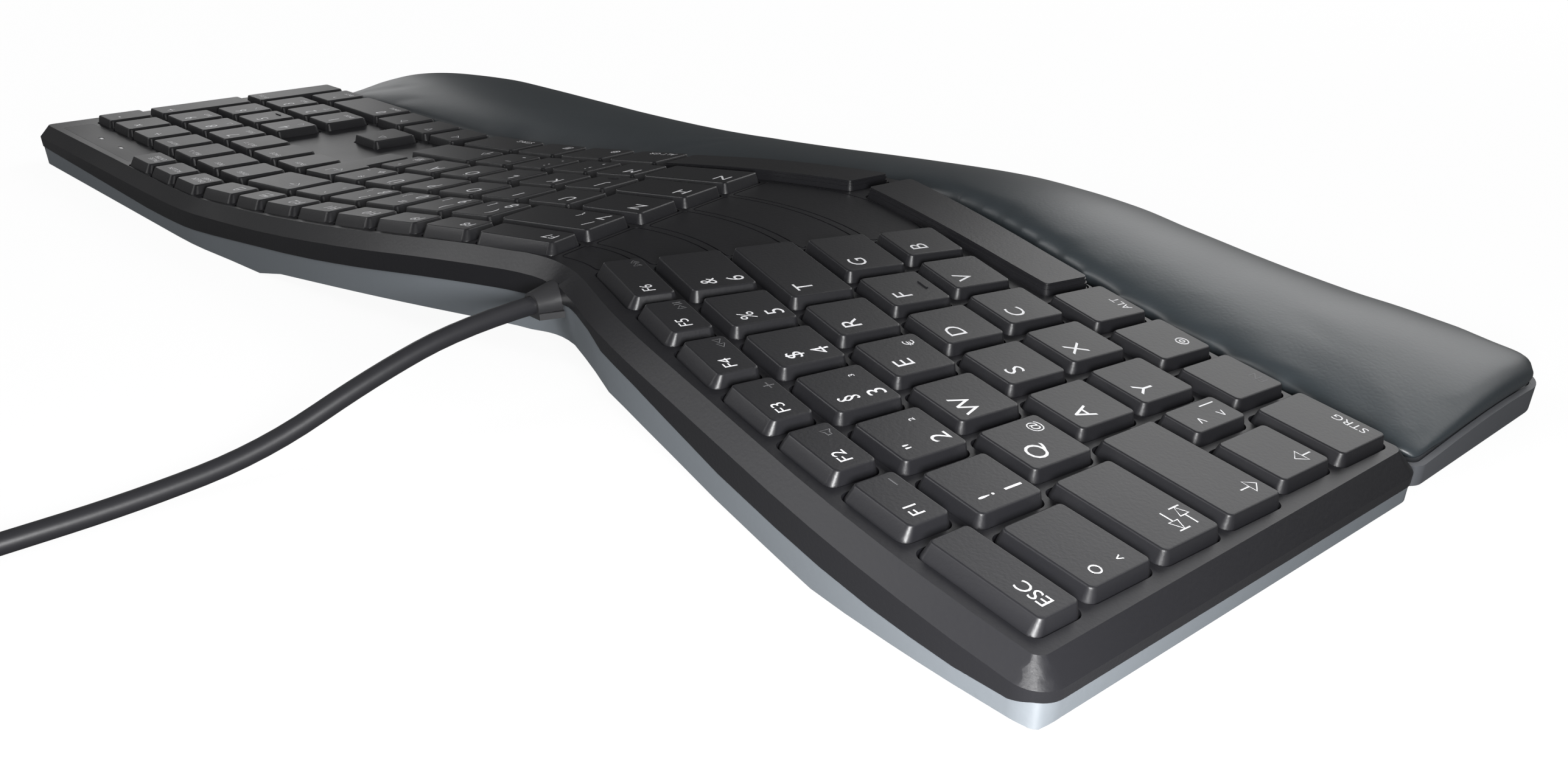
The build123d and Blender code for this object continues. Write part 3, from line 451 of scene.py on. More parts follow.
@dataclass
class Studio:
    """Camera, lamps, floor and backdrop.

    The camera's picture is in pixels, its eye and sensor in millimetres, and its clips in metres.
    """

    focal: float = 2115.4
    image_width: float = 2576.0
    image_height: float = 1251.0
    centre_y: float = 966.0
    eye: Triple = (-318.5, 232.8, 118.9)
    right: Triple = (-0.67831, -0.73477, 0.00343)
    ahead: Triple = (0.62444, -0.57891, -0.52434)
    sensor: float = 36.0
    clips: tuple[float, float] = (0.01, 20.0)
    sky: float = 0.25
    sky_gloss: float = -0.19
    paper: tuple[float, float, float, float] = (0.18, 0.18, 0.182, 1.0)
    white: tuple[float, float, float, float] = (1.0, 1.0, 1.0, 1.0)
    floor_glow: float = 0.5
    glow_strength: float = 1.86
    floor_reach: float = 3.0
    lamps: tuple[Lamp, ...] = (
        Lamp("front_lamp", (0.27, -1.5, 0.85), 1.1, 8.0),
        Lamp("right_lamp", (1.9, -0.6, 0.4), 0.5, 1.6),
        Lamp("bevel_lamp", (1.04, 1.09, 1.13), 0.8, 9.0),
        Lamp("rear_lamp", (-0.32, 0.2, 0.08), 0.06, 1.1),
        Lamp("low_lamp", (1.2, 1.5, 0.15), 0.6, 1.5),
        Lamp("left_lamp", (-0.8, -1.4, 1.2), 0.9, 4.5))

    def camera(self) -> None:
        """Place the camera that the key grid gives."""
        data = bpy.data.cameras.new("camera")
        data.sensor_width = self.sensor
        data.lens = self.focal / self.image_width * data.sensor_width
        data.shift_y = (self.centre_y - self.image_height / 2) / self.image_width
        data.clip_start, data.clip_end = self.clips
        lens = link_piece("camera", data)
        right = Vector(self.right).normalized()
        back = -Vector(self.ahead).normalized()
        up = back.cross(right).normalized()
        turn = Matrix((right, up, back)).transposed()
        lens.matrix_world = Matrix.Translation(Vector(self.eye) * MM) @ turn.to_4x4()
        bpy.context.scene.camera = lens

    def backdrop(self) -> None:
        """World that lights evenly and is seen as white."""
        world = bpy.data.worlds.new("studio")
        bpy.context.scene.world = world
        tree = empty_tree(world)
        path = add_node(tree, "ShaderNodeLightPath")
        direct, clear, gloss = (Signal(tree, path.outputs[f"Is {kind} Ray"])
                                for kind in ("Camera", "Transmission", "Glossy"))
        strength = (direct + clear) * (1.0 - self.sky) + gloss * self.sky_gloss + self.sky
        back = add_node(tree, "ShaderNodeBackground", {}, {"Color": self.white, "Strength": strength})
        add_node(tree, "ShaderNodeOutputWorld", {}, {0: back.outputs[0]})

    def floor(self) -> None:
        """Pale floor, which glows towards the camera alone and so looks white outside the shadows."""
        form = bmesh.new()
        bmesh.ops.create_grid(form, x_segments=8, y_segments=8, size=self.floor_reach)
        piece = link_piece("floor", new_mesh("floor", form))
        material = bpy.data.materials.new("floor")
        tree = empty_tree(material)
        paper = add_node(tree, "ShaderNodeBsdfDiffuse", {}, {"Color": self.paper})
        glow = add_node(tree, "ShaderNodeEmission", {}, {
            "Color": self.white, "Strength": self.glow_strength})
        path = add_node(tree, "ShaderNodeLightPath")
        seen = Signal(tree, path.outputs["Is Camera Ray"]) + Signal(tree, path.outputs["Is Transmission Ray"])
        mix = add_node(tree, "ShaderNodeMixShader", {}, {
            0: seen * self.floor_glow, 1: paper.outputs[0], 2: glow.outputs[0]})
        add_node(tree, "ShaderNodeOutputMaterial", {}, {0: mix.outputs[0]})
        piece.data.materials.append(material)

    def build(self) -> None:
        """Set up the whole studio."""
        self.camera()
        self.backdrop()
        self.floor()
        for lamp in self.lamps:
            lamp.build()
        bpy.context.scene.view_settings.view_transform = "Standard"


@dataclass
class Cord:
    """The cable: free stretch, coil, and the boot and plug at its ends, in millimetres."""

    diameter: float = 4.2
    length: float = 1800.0
    shift: tuple[float, float] = (-0.082, 24.917)
    route: tuple[Triple, ...] = (
        (-71.0, 56.0, 19.6), (-71.0, 75.0, 19.1), (-71.0, 98.0, 13.4), (-71.0, 124.0, 4.2),
        (-71.4, 150.0, 2.1), (-71.9, 176.0, 2.1), (-71.9, 202.0, 2.1))
    coil_outer: float = 36.66
    coil_step: float = 4.7
    layer_gap: float = 0.5
    lead_cut: float = 1.5
    turns: float = 10.25
    layer_turns: float = 4.875
    dip: float = 1.2
    per_turn: int = 24
    tail: Triple = (12.0, 26.0, 4.5)

    def coil(self) -> list[Vector]:
        """Control points of the coil's turns, which wind inwards on the desk and outwards on top.

        Returns:
            The points, in millimetres. The curve runs inside its control points, so they stand
            further out than the cable by the factor swell.
        """
        end = Vector(self.route[-1])
        middle = Vector((end.x + self.coil_outer, end.y + 2 * self.diameter, 0.0))
        rise = self.diameter + self.layer_gap
        points = []
        swell = 1.0 / (0.25 * math.cos(2 * math.pi / self.per_turn) + 0.75)
        for index in range(1, round(self.turns * self.per_turn) + 1):
            turn = index / self.per_turn
            past = turn - self.layer_turns
            radius = self.coil_outer - self.coil_step * min(turn, self.layer_turns)
            height = end.z
            if past > 0.0:
                share = min(past * 2, 1.0)
                radius -= self.dip * 16 * (share * (1 - share)) ** 2
                height += rise * share * share * (3 - 2 * share)
                radius += self.coil_step * max(past - 0.5, 0.0)
            angle = math.pi - turn * 2 * math.pi
            points.append(middle + Vector((math.cos(angle), math.sin(angle), 0.0)) * radius * swell
                          + Vector((0, 0, height)))
        return points

    def line(self) -> list[Vector]:
        """Control points of the whole cable.

        Returns:
            The points, in metres.
        """
        points = [Vector(p) for p in self.route]
        end = points[-1]
        points.append(Vector((end.x, end.y + 2 * self.diameter - self.lead_cut, end.z)))
        turns = self.coil()
        points += turns
        run, drop, low = self.tail
        last = turns[-1]
        for ahead, height in ((run * 0.5, last.z), (run, last.z), (run + drop * 0.5, (last.z + low) / 2),
                              (run + drop, low), (run + drop + self.diameter, low)):
            points.append(Vector((last.x + ahead, last.y, height)))
        moved = Vector((self.shift[0], self.shift[1], 0.0))
        return [(p + moved) * MM for p in points]

    def build(self) -> None:
        """Make the cable as one smooth curve and dress its ends."""
        data = bpy.data.curves.new("cable", "CURVE")
        data.dimensions = "3D"
        data.bevel_depth = self.diameter / 2 * MM
        data.bevel_resolution = 4
        data.resolution_u = 6
        points = self.line()
        spline = data.splines.new("NURBS")
        spline.points.add(len(points) - 1)
        for point, place in zip(spline.points, points):
            point.co = (*place, 1.0)
        spline.order_u = 3
        spline.use_endpoint_u = True
        cable = link_piece("cable", data)
        data.materials.append(CORD_BLACK.build())
        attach(cable, "case")
        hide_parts("usb_cable", "usb_cable_coil")
        plug = dressed_copy("usb_plug_body", "case", CORD_BLACK)
        shell = dressed_copy("usb_plug_shell", "case", PLUG_STEEL)
        dressed_copy("strain_relief", "case", BOOT_BLACK)
        log.info("cable with %d points", len(points))


@dataclass
class Case:
    """The two shells and what lies inside them. Lengths are in millimetres, facing_down is a normal's z."""

    band_lift: Pairs = (
        (-231.0, 1.6), (-227.0, 0.4), (-220.0, -0.7), (-203.0, -1.8), (-190.0, -2.4), (-151.0, -2.4),
        (-130.0, -1.1), (-115.0, 0.0), (-102.0, 0.0), (-96.0, 1.6), (-83.0, 1.6), (-60.0, -1.2), (21.0, -1.2),
        (54.0, -0.9), (94.0, -1.5), (206.0, -1.5), (231.0, 0.5))
    seen_from_y: float = -16.0
    flush: float = 1.9
    foot: float = 2.0
    corner: tuple[float, float] = (-226.9, 96.4)
    facing_down: float = -0.7

    def lift(self, place: Vector) -> float:
        """How far the band's lower edge lies over the CAD's at a place, in metres."""
        return between(self.band_lift, place.x / MM) * MM if place.y > self.seen_from_y * MM else 0.0

    def trim_band(self, form: Form) -> None:
        """Move the lower edge of the top shell's band to where the photo has it.

        Args:
            form: the top shell.
        """
        outer = outer_wall(form)
        edge = set()
        for face in form.faces:
            if face.normal.z < self.facing_down and any(vert in outer for vert in face.verts):
                edge.update(face.verts)
        for vert in edge:
            vert.co.z += self.lift(vert.co)

    def widen_base(self, form: Form) -> None:
        """Bring the base's outer wall under the band's face and square its rear left corner at the desk.

        Args:
            form: the base.
        """
        middle = Vector(self.corner) * MM
        for vert, out in outer_wall(form).items():
            if vert.co.z > self.foot * MM:
                vert.co.z += self.lift(vert.co)
            elif vert.co.x < middle.x and vert.co.y > middle.y:
                vert.co.xy = middle + out.xy * ((vert.co.xy - middle).length / max(abs(out.x), abs(out.y)))
            vert.co += out * self.flush * MM

    def build(self) -> None:
        """Dress the shells and the inner layers."""
        dressed_copy("top_case", "case", CASE_BLACK, 25.0, self.trim_band)
        dressed_copy("bottom_case", "case", BASE_GREY, 25.0, self.widen_base)
        dressed_copy("indicator_window", "case", WINDOW_BLACK)
        dressed_copy("indicator_lights", "case", LIGHT_GUIDE)
        for node, finish in (("rubber_feet", RUBBER_GREY), ("case_screws", SCREW_STEEL),
                             ("dome_sheet", SILICONE), ("membrane", FILM),
                             ("backing_plate", SHEET_STEEL), ("controller_board", BOARD_GREEN)):
            finish.dress(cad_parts[node])
        log.info("case dressed")


class Ink(Enum):
    """Colours of the print on the keys."""

    WHITE = "white"
    DIM = "dim"


@dataclass(frozen=True)
class Mark:
    """One sign on a key, placed from the key's rear left corner in millimetres."""

    sign: str
    right: float
    down: float
    high: float
    ink: Ink = Ink.WHITE
    flush: bool = False


Marks = tuple[Mark, ...]


@dataclass(frozen=True)
class Print:
    """Sizes and places of the signs on the keys, in millimetres from the left and the rear edge."""

    margin: float = 4.2
    digit_margin: float = 3.5
    rear_line: float = 4.5
    front_line: float = 11.0
    far_side: float = 10.9
    letter: float = 4.3
    digit: float = 4.1
    shifted: float = 3.7
    third: float = 2.5
    word: float = 2.2
    small_word: float = 1.6
    function: float = 2.8
    icon: float = 2.4
    arrow: float = 1.7
    function_at: tuple[float, float] = (1.8, 3.7)
    icon_line: float = 6.4
    word_at: tuple[float, float] = (2.2, 11.7)
    word_step: float = 2.6
    small_at: tuple[float, float] = (1.9, 3.2)
    small_step: float = 2.4
    pad_word: float = 2.3

    def _third_sign(self, sign: str) -> Marks:
        """Third sign of a key at the lower right, if it has one."""
        return (Mark(sign, self.far_side, self.front_line, self.third),) if sign else ()

    def letter_key(self, letter: str, third: str = "") -> Marks:
        """Letter at the upper left, with the key's third sign."""
        return (Mark(letter, self.margin, self.rear_line, self.letter), *self._third_sign(third))

    def digit_key(self, low: str, high: str, third: str = "") -> Marks:
        """Digit at the lower left under its shifted sign, with the key's third sign."""
        return (Mark(low, self.digit_margin, self.front_line, self.digit),
                Mark(high, self.digit_margin, self.rear_line, self.shifted), *self._third_sign(third))

    def letters(self, *keys: str) -> tuple[Marks, ...]:
        """Several letter keys, each written as its letter and its third sign."""
        return tuple(self.letter_key(*key) for key in keys)

    def digits(self, *keys: str) -> tuple[Marks, ...]:
        """Several digit keys, each written as its digit, the sign over it and its third sign."""
        return tuple(self.digit_key(*key) for key in keys)

    def function_key(self, name: str, icon: str = "", icon_at: float = 11.7) -> Marks:
        """Function name at the upper left, with a dim icon at the lower right."""
        dim = (Mark(icon, icon_at, self.icon_line, self.icon, Ink.DIM),) if icon else ()
        return (Mark(name, *self.function_at, self.function, flush=True), *dim)

    def word_key(self, *words: str, ink: Ink = Ink.WHITE) -> Marks:
        """Words at the lower left, one under the other."""
        left, line = self.word_at
        return tuple(Mark(word, left, line + index * self.word_step, self.word, ink, True)
                     for index, word in enumerate(words))

    def small_key(self, *words: str) -> Marks:
        """Small words at the upper left, one under the other."""
        left, line = self.small_at
        return tuple(Mark(word, left, line + index * self.small_step, self.small_word, flush=True)
                     for index, word in enumerate(words))

    def arrow_key(self, word: str, icon: str, icon_at: float = 8.6) -> Marks:
        """Small word at the upper left with an arrow behind it."""
        return self.small_key(word) + (Mark(icon, icon_at, self.small_at[1], self.arrow),)

    def icon_key(self, icon: str, right: float, down: float, high: float) -> Marks:
        """One icon, so high and with its middle at so much from the left and the rear edge."""
        return (Mark(icon, right, down, high),)

    def pad_key(self, digit: str, *below: str) -> Marks:
        """Number pad digit.

        Args:
            digit: the digit or sign.
            below: icon or word under it, if the key has one.

        Returns:
            The key's marks.
        """
        return (Mark(digit, self.margin, self.rear_line, self.digit),
                *(Mark(second, self.margin, self.front_line, self.icon) if second in ICONS else
                  Mark(second, self.pad_word, self.front_line, self.small_word, flush=True)
                  for second in below))


@dataclass(frozen=True)
class Icon:
    """Line drawing in a box one unit high: open and closed strokes."""

    closed: tuple[Pairs, ...] = ()
    open: tuple[Pairs, ...] = ()


def ring(radius: float, corners: int = 20) -> Pairs:
    """Points round a circle."""
    turns = [2 * math.pi * index / corners for index in range(corners)]
    return tuple((radius * math.cos(turn), radius * math.sin(turn)) for turn in turns)


def wedge(x: float, heading: int, size: float = 0.4) -> Pairs:
    """Triangle with its tip to the right (1) or the left (-1)."""
    return ((x - heading * size * 0.5, size), (x + heading * size, 0.0), (x - heading * size * 0.5, -size))


ICONS = {
    "up": Icon(closed=(((0, 0.45), (0.5, -0.4), (-0.5, -0.4)),)),
    "down": Icon(closed=(((0, -0.45), (0.5, 0.4), (-0.5, 0.4)),)),
    "left": Icon(closed=(((-0.45, 0), (0.4, 0.5), (0.4, -0.5)),)),
    "right": Icon(closed=(((0.45, 0), (-0.4, 0.5), (-0.4, -0.5)),)),
    "shift": Icon(closed=(((0, 0.5), (0.35, 0.03), (-0.35, 0.03)),), open=(((0, 0.03), (0, -0.5)),)),
    "caps": Icon(closed=(((0, -0.5), (0.35, -0.03), (-0.35, -0.03)),), open=(((0, -0.03), (0, 0.5)),)),
    "back": Icon(closed=(((-0.5, 0), (-0.03, 0.35), (-0.03, -0.35)),), open=(((-0.03, 0), (0.5, 0)),)),
    "tab": Icon(closed=(((-0.64, 0.44), (-0.04, 0.72), (-0.04, 0.16)),
                        ((0.64, -0.44), (0.04, -0.72), (0.04, -0.16))),
                open=(((-0.64, 0.77), (-0.64, 0.11)), ((0.64, -0.77), (0.64, -0.11)),
                      ((-0.04, 0.44), (0.64, 0.44)), ((0.04, -0.44), (-0.64, -0.44)))),
    "return": Icon(closed=(((-0.6, -0.2), (-0.1, 0.15), (-0.1, -0.55)),),
                   open=(((-0.1, -0.2), (0.6, -0.2), (0.6, 0.5)),)),
    "degree": Icon(closed=(ring(0.42),)),
    "ring": Icon(closed=(ring(0.5), ring(0.2))),
    "menu": Icon(closed=(((-0.45, 0.5), (0.45, 0.5), (0.45, -0.5), (-0.45, -0.5)),),
                 open=tuple(((-0.22, line), (0.22, line)) for line in (0.22, 0, -0.22))),
    "minus": Icon(open=(((-0.5, 0), (0.5, 0)),)),
    "plus": Icon(open=(((-0.5, 0), (0.5, 0)), ((0, 0.5), (0, -0.5)))),
    "sound": Icon(closed=(((-0.5, 0.18), (-0.2, 0.18), (0.2, 0.5),
                           (0.2, -0.5), (-0.2, -0.18), (-0.5, -0.18)),)),
    "former": Icon(closed=(wedge(-0.35, -1), wedge(0.45, -1))),
    "play": Icon(closed=(wedge(-0.5, 1),), open=(((0.25, 0.4), (0.25, -0.4)), ((0.6, 0.4), (0.6, -0.4)))),
    "next": Icon(closed=(wedge(-0.45, 1), wedge(0.35, 1))),
    "window": Icon(closed=(((-0.6, 0.45), (0.6, 0.45), (0.6, -0.45), (-0.6, -0.45)),),
                   open=(((-0.6, 0.15), (0.6, 0.15)), ((-0.3, 0.45), (-0.3, 0.15)))),
    "lock": Icon(closed=(((-0.42, 0.05), (0.42, 0.05), (0.42, -0.55), (-0.42, -0.55)),),
                 open=(((-0.26, 0.05), (-0.26, 0.3), (-0.12, 0.5), (0.12, 0.5), (0.26, 0.3), (0.26, 0.05)),)),
}

PRINT = Print()
LEGENDS = {f"key_{letter.lower()}": PRINT.letters(letter) for letter in "TZGHBN"} | {
    "key_escape": (PRINT.function_key("ESC"),),
    "keys_f1_f5": tuple(PRINT.function_key(f"F{number}", icon) for number, icon in
                        enumerate(("minus", "sound", "plus", "former", "play"), 1)),
    "key_f6": (PRINT.function_key("F6", "next", 18.6),),
    "key_f7": (PRINT.function_key("F7"),),
    "keys_f8_f12": tuple(PRINT.function_key(f"F{number}") for number in range(8, 13)),
    "keys_web_lock": (PRINT.icon_key("window", 4.2, 4.5, 3.0), PRINT.icon_key("lock", 4.2, 4.5, 3.0)),
    "key_grave": ((Mark("^", 2.9, 10.6, 2.2), Mark("degree", 2.9, 4.2, 2.5)),),
    "keys_1_5": PRINT.digits("1!", '2"²', "3§³", "4$", "5%"),
    "key_6": PRINT.digits("6&"),
    "key_7": PRINT.digits("7/{"),
    "keys_8_acute": PRINT.digits("8([", "9)]", "0=}", "ß?\\", "´`"),
    "key_backspace": (PRINT.icon_key("back", 5.0, 4.8, 4.9),),
    "key_tab": (PRINT.icon_key("tab", 4.9, 10.0, 4.2),),
    "keys_q_r": PRINT.letters("Q@", "W", "E€", "R"),
    "keys_u_plus": PRINT.letters("U", "I", "O", "P", "Ü") + PRINT.digits("+*~"),
    "key_return": (PRINT.icon_key("return", 5.0, 5.4, 4.2),),
    "key_caps_lock": (PRINT.icon_key("caps", 4.0, 10.8, 4.9),),
    "keys_a_f": PRINT.letters("A", "S", "D", "F"),
    "keys_j_hash": PRINT.letters("J", "K", "L", "Ö", "Ä")
    + ((Mark("'", 3.0, 4.5, 3.4), Mark("#", 3.4, 10.7, 3.6)),),
    "key_shift_left": (PRINT.icon_key("shift", 3.3, 10.8, 4.9),),
    "keys_angle_v": ((Mark(">", 2.7, 4.3, 2.6), Mark("<", 2.7, 10.7, 2.6), Mark("|", 6.6, 10.7, 3.2)),)
    + PRINT.letters("Y", "X", "C", "V"),
    "keys_m_minus": PRINT.letters("M") + PRINT.digits(",;", ".:", "-_"),
    "key_shift_right": (PRINT.icon_key("shift", 3.3, 10.8, 4.9),),
    "key_control_left": (PRINT.word_key("STRG"),),
    "keys_bottom_left": (PRINT.word_key("FN", ink=Ink.DIM), PRINT.icon_key("ring", 4.2, 10.4, 2.8),
                         PRINT.word_key("ALT")),
    "keys_bottom_right": (PRINT.word_key("ALT GR"), PRINT.icon_key("ring", 4.2, 10.4, 2.8),
                          PRINT.icon_key("menu", 4.2, 10.4, 2.8)),
    "key_control_right": (PRINT.word_key("STRG"),),
    "keys_system": (PRINT.small_key("DRUCK", "S-ABF"), PRINT.small_key("ROLLEN"),
                    PRINT.small_key("PAUSE", "UNTBR")),
    "keys_navigation": (PRINT.small_key("EINFG"), PRINT.small_key("POS1"), PRINT.arrow_key("BILD", "up"),
                        PRINT.small_key("ENTF"), PRINT.small_key("ENDE"), PRINT.arrow_key("BILD", "down")),
    "keys_cursor": tuple(PRINT.icon_key(name, 4.3, 4.5, 2.8) for name in ("up", "left", "down", "right")),
    "keys_pad": (PRINT.arrow_key("NUM", "down", 8.4), PRINT.pad_key("÷"),
                 PRINT.pad_key("×"), PRINT.pad_key("-"),
                 PRINT.pad_key("7", "POS1"), PRINT.pad_key("8", "up"), PRINT.pad_key("9", "BILD"),
                 PRINT.pad_key("4", "left"), PRINT.pad_key("5"), PRINT.pad_key("6", "right"),
                 PRINT.pad_key("1", "ENDE"), PRINT.pad_key("2", "down"), PRINT.pad_key("3", "BILD"),
                 PRINT.pad_key(",", "ENTF")),
    "key_pad_zero": (PRINT.pad_key("0", "EINFG"),),
    "keys_pad_tall": (PRINT.pad_key("+"), PRINT.small_key("ENTER")),
}


@dataclass(frozen=True)
class KeyTop:
    """Flat top of one key cap: its rear left corner and directions, in metres."""

    corner: Vector
    across: Vector
    front: Vector
    normal: Vector
    middle: Vector

    def place(self, right: float, down: float, lift: float) -> Matrix:
        """Frame at a spot on the top.

        Args:
            right: millimetres from the left edge.
            down: millimetres from the rear edge.
            lift: millimetres over the top.

        Returns:
            The frame, with x to the right, y to the rear and z out of the top.
        """
        spot = self.corner + (self.across * right + self.front * down + self.normal * lift) * MM
        turn = Matrix((self.across, -self.front, self.normal)).transposed()
        return Matrix.Translation(spot) @ turn.to_4x4()


def islands(form: Form) -> list[list[bmesh.types.BMFace]]:
    """Groups of faces that hang together.

    Args:
        form: the form with the faces.

    Returns:
        One list of faces for each group.
    """
    seen = set()
    groups = []
    for first in form.faces:
        if first in seen:
            continue
        seen.add(first)
        group = [first]
        for face in group:
            for edge in face.edges:
                for other in edge.link_faces:
                    if other not in seen:
                        seen.add(other)
                        group.append(other)
        groups.append(group)
    return groups


def key_top(faces: list[bmesh.types.BMFace]) -> KeyTop:
    """Top of a cap: the widest of its flat parts that face up.

    Args:
        faces: the cap's faces.

    Returns:
        The top, with its longest side as its direction across.
    """
    facing_up = 0.9
    planes = {}
    for face in faces:
        if face.normal.z > facing_up:
            offset = face.normal.dot(face.calc_center_median())
            key = (round(face.normal.x, 2), round(face.normal.y, 2), round(offset, 4))
            planes.setdefault(key, []).append(face)
    flat = max(planes.values(), key=lambda group: sum(face.calc_area() for face in group))
    normal = max(flat, key=lambda face: face.calc_area()).normal.copy()
    inside = set(flat)
    rim = [edge for face in flat for edge in face.edges
           if sum(other in inside for other in edge.link_faces) == 1]
    longest = max(rim, key=lambda edge: edge.calc_length())
    across = longest.verts[1].co - longest.verts[0].co
    across = (across - normal * across.dot(normal)).normalized()
    if abs(across.x) < abs(across.y):
        across = across.cross(normal)
    if across.x < 0:
        across = -across
    back = normal.cross(across)
    spots = [vert.co for face in flat for vert in face.verts]
    left = min(spot.dot(across) for spot in spots)
    right = max(spot.dot(across) for spot in spots)
    near = min(spot.dot(back) for spot in spots)
    far = max(spot.dot(back) for spot in spots)
    height = normal.dot(flat[0].calc_center_median())
    corner = across * left + back * far + normal * height
    middle = across * (left + right) / 2 + back * (near + far) / 2 + normal * height
    return KeyTop(corner, across, -back, normal, middle)


def in_reading_order(tops: list[KeyTop]) -> list[KeyTop]:
    """Tops from the rear row to the front row, and from left to right in each.

    Args:
        tops: tops of one node, which are one straight or slanting row, or a straight block.

    Returns:
        The tops in order.
    """
    row_depth, row_round, slant = 16.0 * MM, 12.0 * MM, 0.03
    places = [top.middle.y for top in tops]
    if max(places) - min(places) < row_depth or all(abs(top.across.y) > slant for top in tops):
        return sorted(tops, key=lambda top: top.middle.x)
    return sorted(tops, key=lambda top: (-round(top.middle.y / row_round), top.middle.x))


@dataclass
class Lettering:
    """Draws signs as flat meshes. The stroke is in millimetres, thin in units of the font."""

    stroke: float = 0.38
    thin: float = -0.003
    flat: float = 0.02
    tall: float = 0.9
    deep: float = -0.2
    cap_height: float = 0.0
    drawn: dict = field(default_factory=dict)

    def text(self, words: str) -> bpy.types.Mesh:
        """Flat mesh of a word at the font's own size.

        Args:
            words: what it says.

        Returns:
            The mesh.
        """
        data = bpy.data.curves.new("words", "FONT")
        data.body = words
        data.resolution_u = 3
        data.offset = self.thin
        return self._drawn_mesh(data)

    def _drawn_mesh(self, data: bpy.types.Curve) -> bpy.types.Mesh:
        """Mesh of a text or curve, which is then removed.

        Args:
            data: the text or curve.

        Returns:
            The mesh.
        """
        holder = link_piece("drawing", data)
        mesh = final_mesh(holder)
        bpy.data.objects.remove(holder)
        bpy.data.curves.remove(data)
        return mesh

    def icon(self, drawing: Icon, high: float) -> bpy.types.Mesh:
        """Flat mesh of a line drawing at one unit of height.

        Args:
            drawing: its strokes.
            high: height in millimetres that it gets later, for the width of its strokes.

        Returns:
            The mesh.
        """
        data = bpy.data.curves.new("strokes", "CURVE")
        data.dimensions = "3D"
        data.bevel_depth = self.stroke / 2 / high
        data.bevel_resolution = 0
        for strokes, loop in ((drawing.closed, True), (drawing.open, False)):
            for stroke in strokes:
                spline = data.splines.new("POLY")
                spline.points.add(len(stroke) - 1)
                for point, (x, y) in zip(spline.points, stroke):
                    point.co = (x, y, 0.0, 1.0)
                spline.use_cyclic_u = loop
        mesh = self._drawn_mesh(data)
        mesh.transform(Matrix.Diagonal((1.0, 1.0, self.flat, 1.0)))
        return mesh

    def sign(self, mark: Mark) -> bpy.types.Mesh:
        """Mesh of a sign, drawn once for each size.

        Args:
            mark: the sign, its height, and whether it starts at its place or is centred on it.

        Returns:
            The mesh, in metres.
        """
        key = (mark.sign, mark.high, mark.flush)
        if key in self.drawn:
            return self.drawn[key]
        if not self.cap_height:
            capital = self.text("H")
            self.cap_height = max(vert.co.y for vert in capital.vertices)
        if mark.sign in ICONS:
            mesh = self.icon(ICONS[mark.sign], mark.high)
            scale = mark.high
            shift = Vector()
        else:
            mesh = self.text(mark.sign)
            scale = mark.high / self.cap_height
            left = min(vert.co.x for vert in mesh.vertices)
            right = max(vert.co.x for vert in mesh.vertices)
            low = min(vert.co.y for vert in mesh.vertices)
            high = max(vert.co.y for vert in mesh.vertices)
            on_line = high > self.tall * self.cap_height and low > self.deep * self.cap_height
            middle = self.cap_height / 2 if on_line else (low + high) / 2
            shift = Vector((-left if mark.flush else -(left + right) / 2, -middle, 0.0))
        mesh.transform(Matrix.Scale(scale * MM, 4) @ Matrix.Translation(shift))
        self.drawn[key] = mesh
        return mesh


@dataclass
class KeyField:
    """The keys and their printed signs, with the print's lift over the caps in millimetres."""

    lift: float = 0.015
    sharp: float = 32.0
    lettering: Lettering = field(default_factory=Lettering)

    def print_signs(self, node: str) -> int:
        """Print the signs of one key node, one piece for each ink.

        Args:
            node: the key node, which is also its body.

        Returns:
            How many signs were printed.
        """
        form = merged_form(node)
        tops = in_reading_order([key_top(group) for group in islands(form)])
        form.free()
        labels = LEGENDS[node]
        if len(labels) != len(tops):
            raise ValueError(f"{node} has {len(tops)} keys and {len(labels)} labels")
        sheets = {ink: bmesh.new() for ink in Ink}
        count = 0
        for top, marks in zip(tops, labels):
            for mark in marks:
                copy = self.lettering.sign(mark).copy()
                copy.transform(top.place(mark.right, mark.down, self.lift))
                sheets[mark.ink].from_mesh(copy)
                bpy.data.meshes.remove(copy)
                count += 1
        for ink, sheet in sheets.items():
            if not len(sheet.faces):
                sheet.free()
                continue
            name = f"{node}_print_{ink.value}"
            piece = link_piece(name, new_mesh(name, sheet))
            (PRINT_WHITE if ink is Ink.WHITE else PRINT_DIM).dress(piece)
            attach(piece, node)
        return count

    def build(self) -> None:
        """Dress every key node and print its signs."""
        count = 0
        for node in sorted(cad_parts):
            if node.startswith("key"):
                dressed_copy(node, node, KEY_BLACK, self.sharp)
                if node in LEGENDS:
                    count += self.print_signs(node)
        log.info("%d signs printed", count)


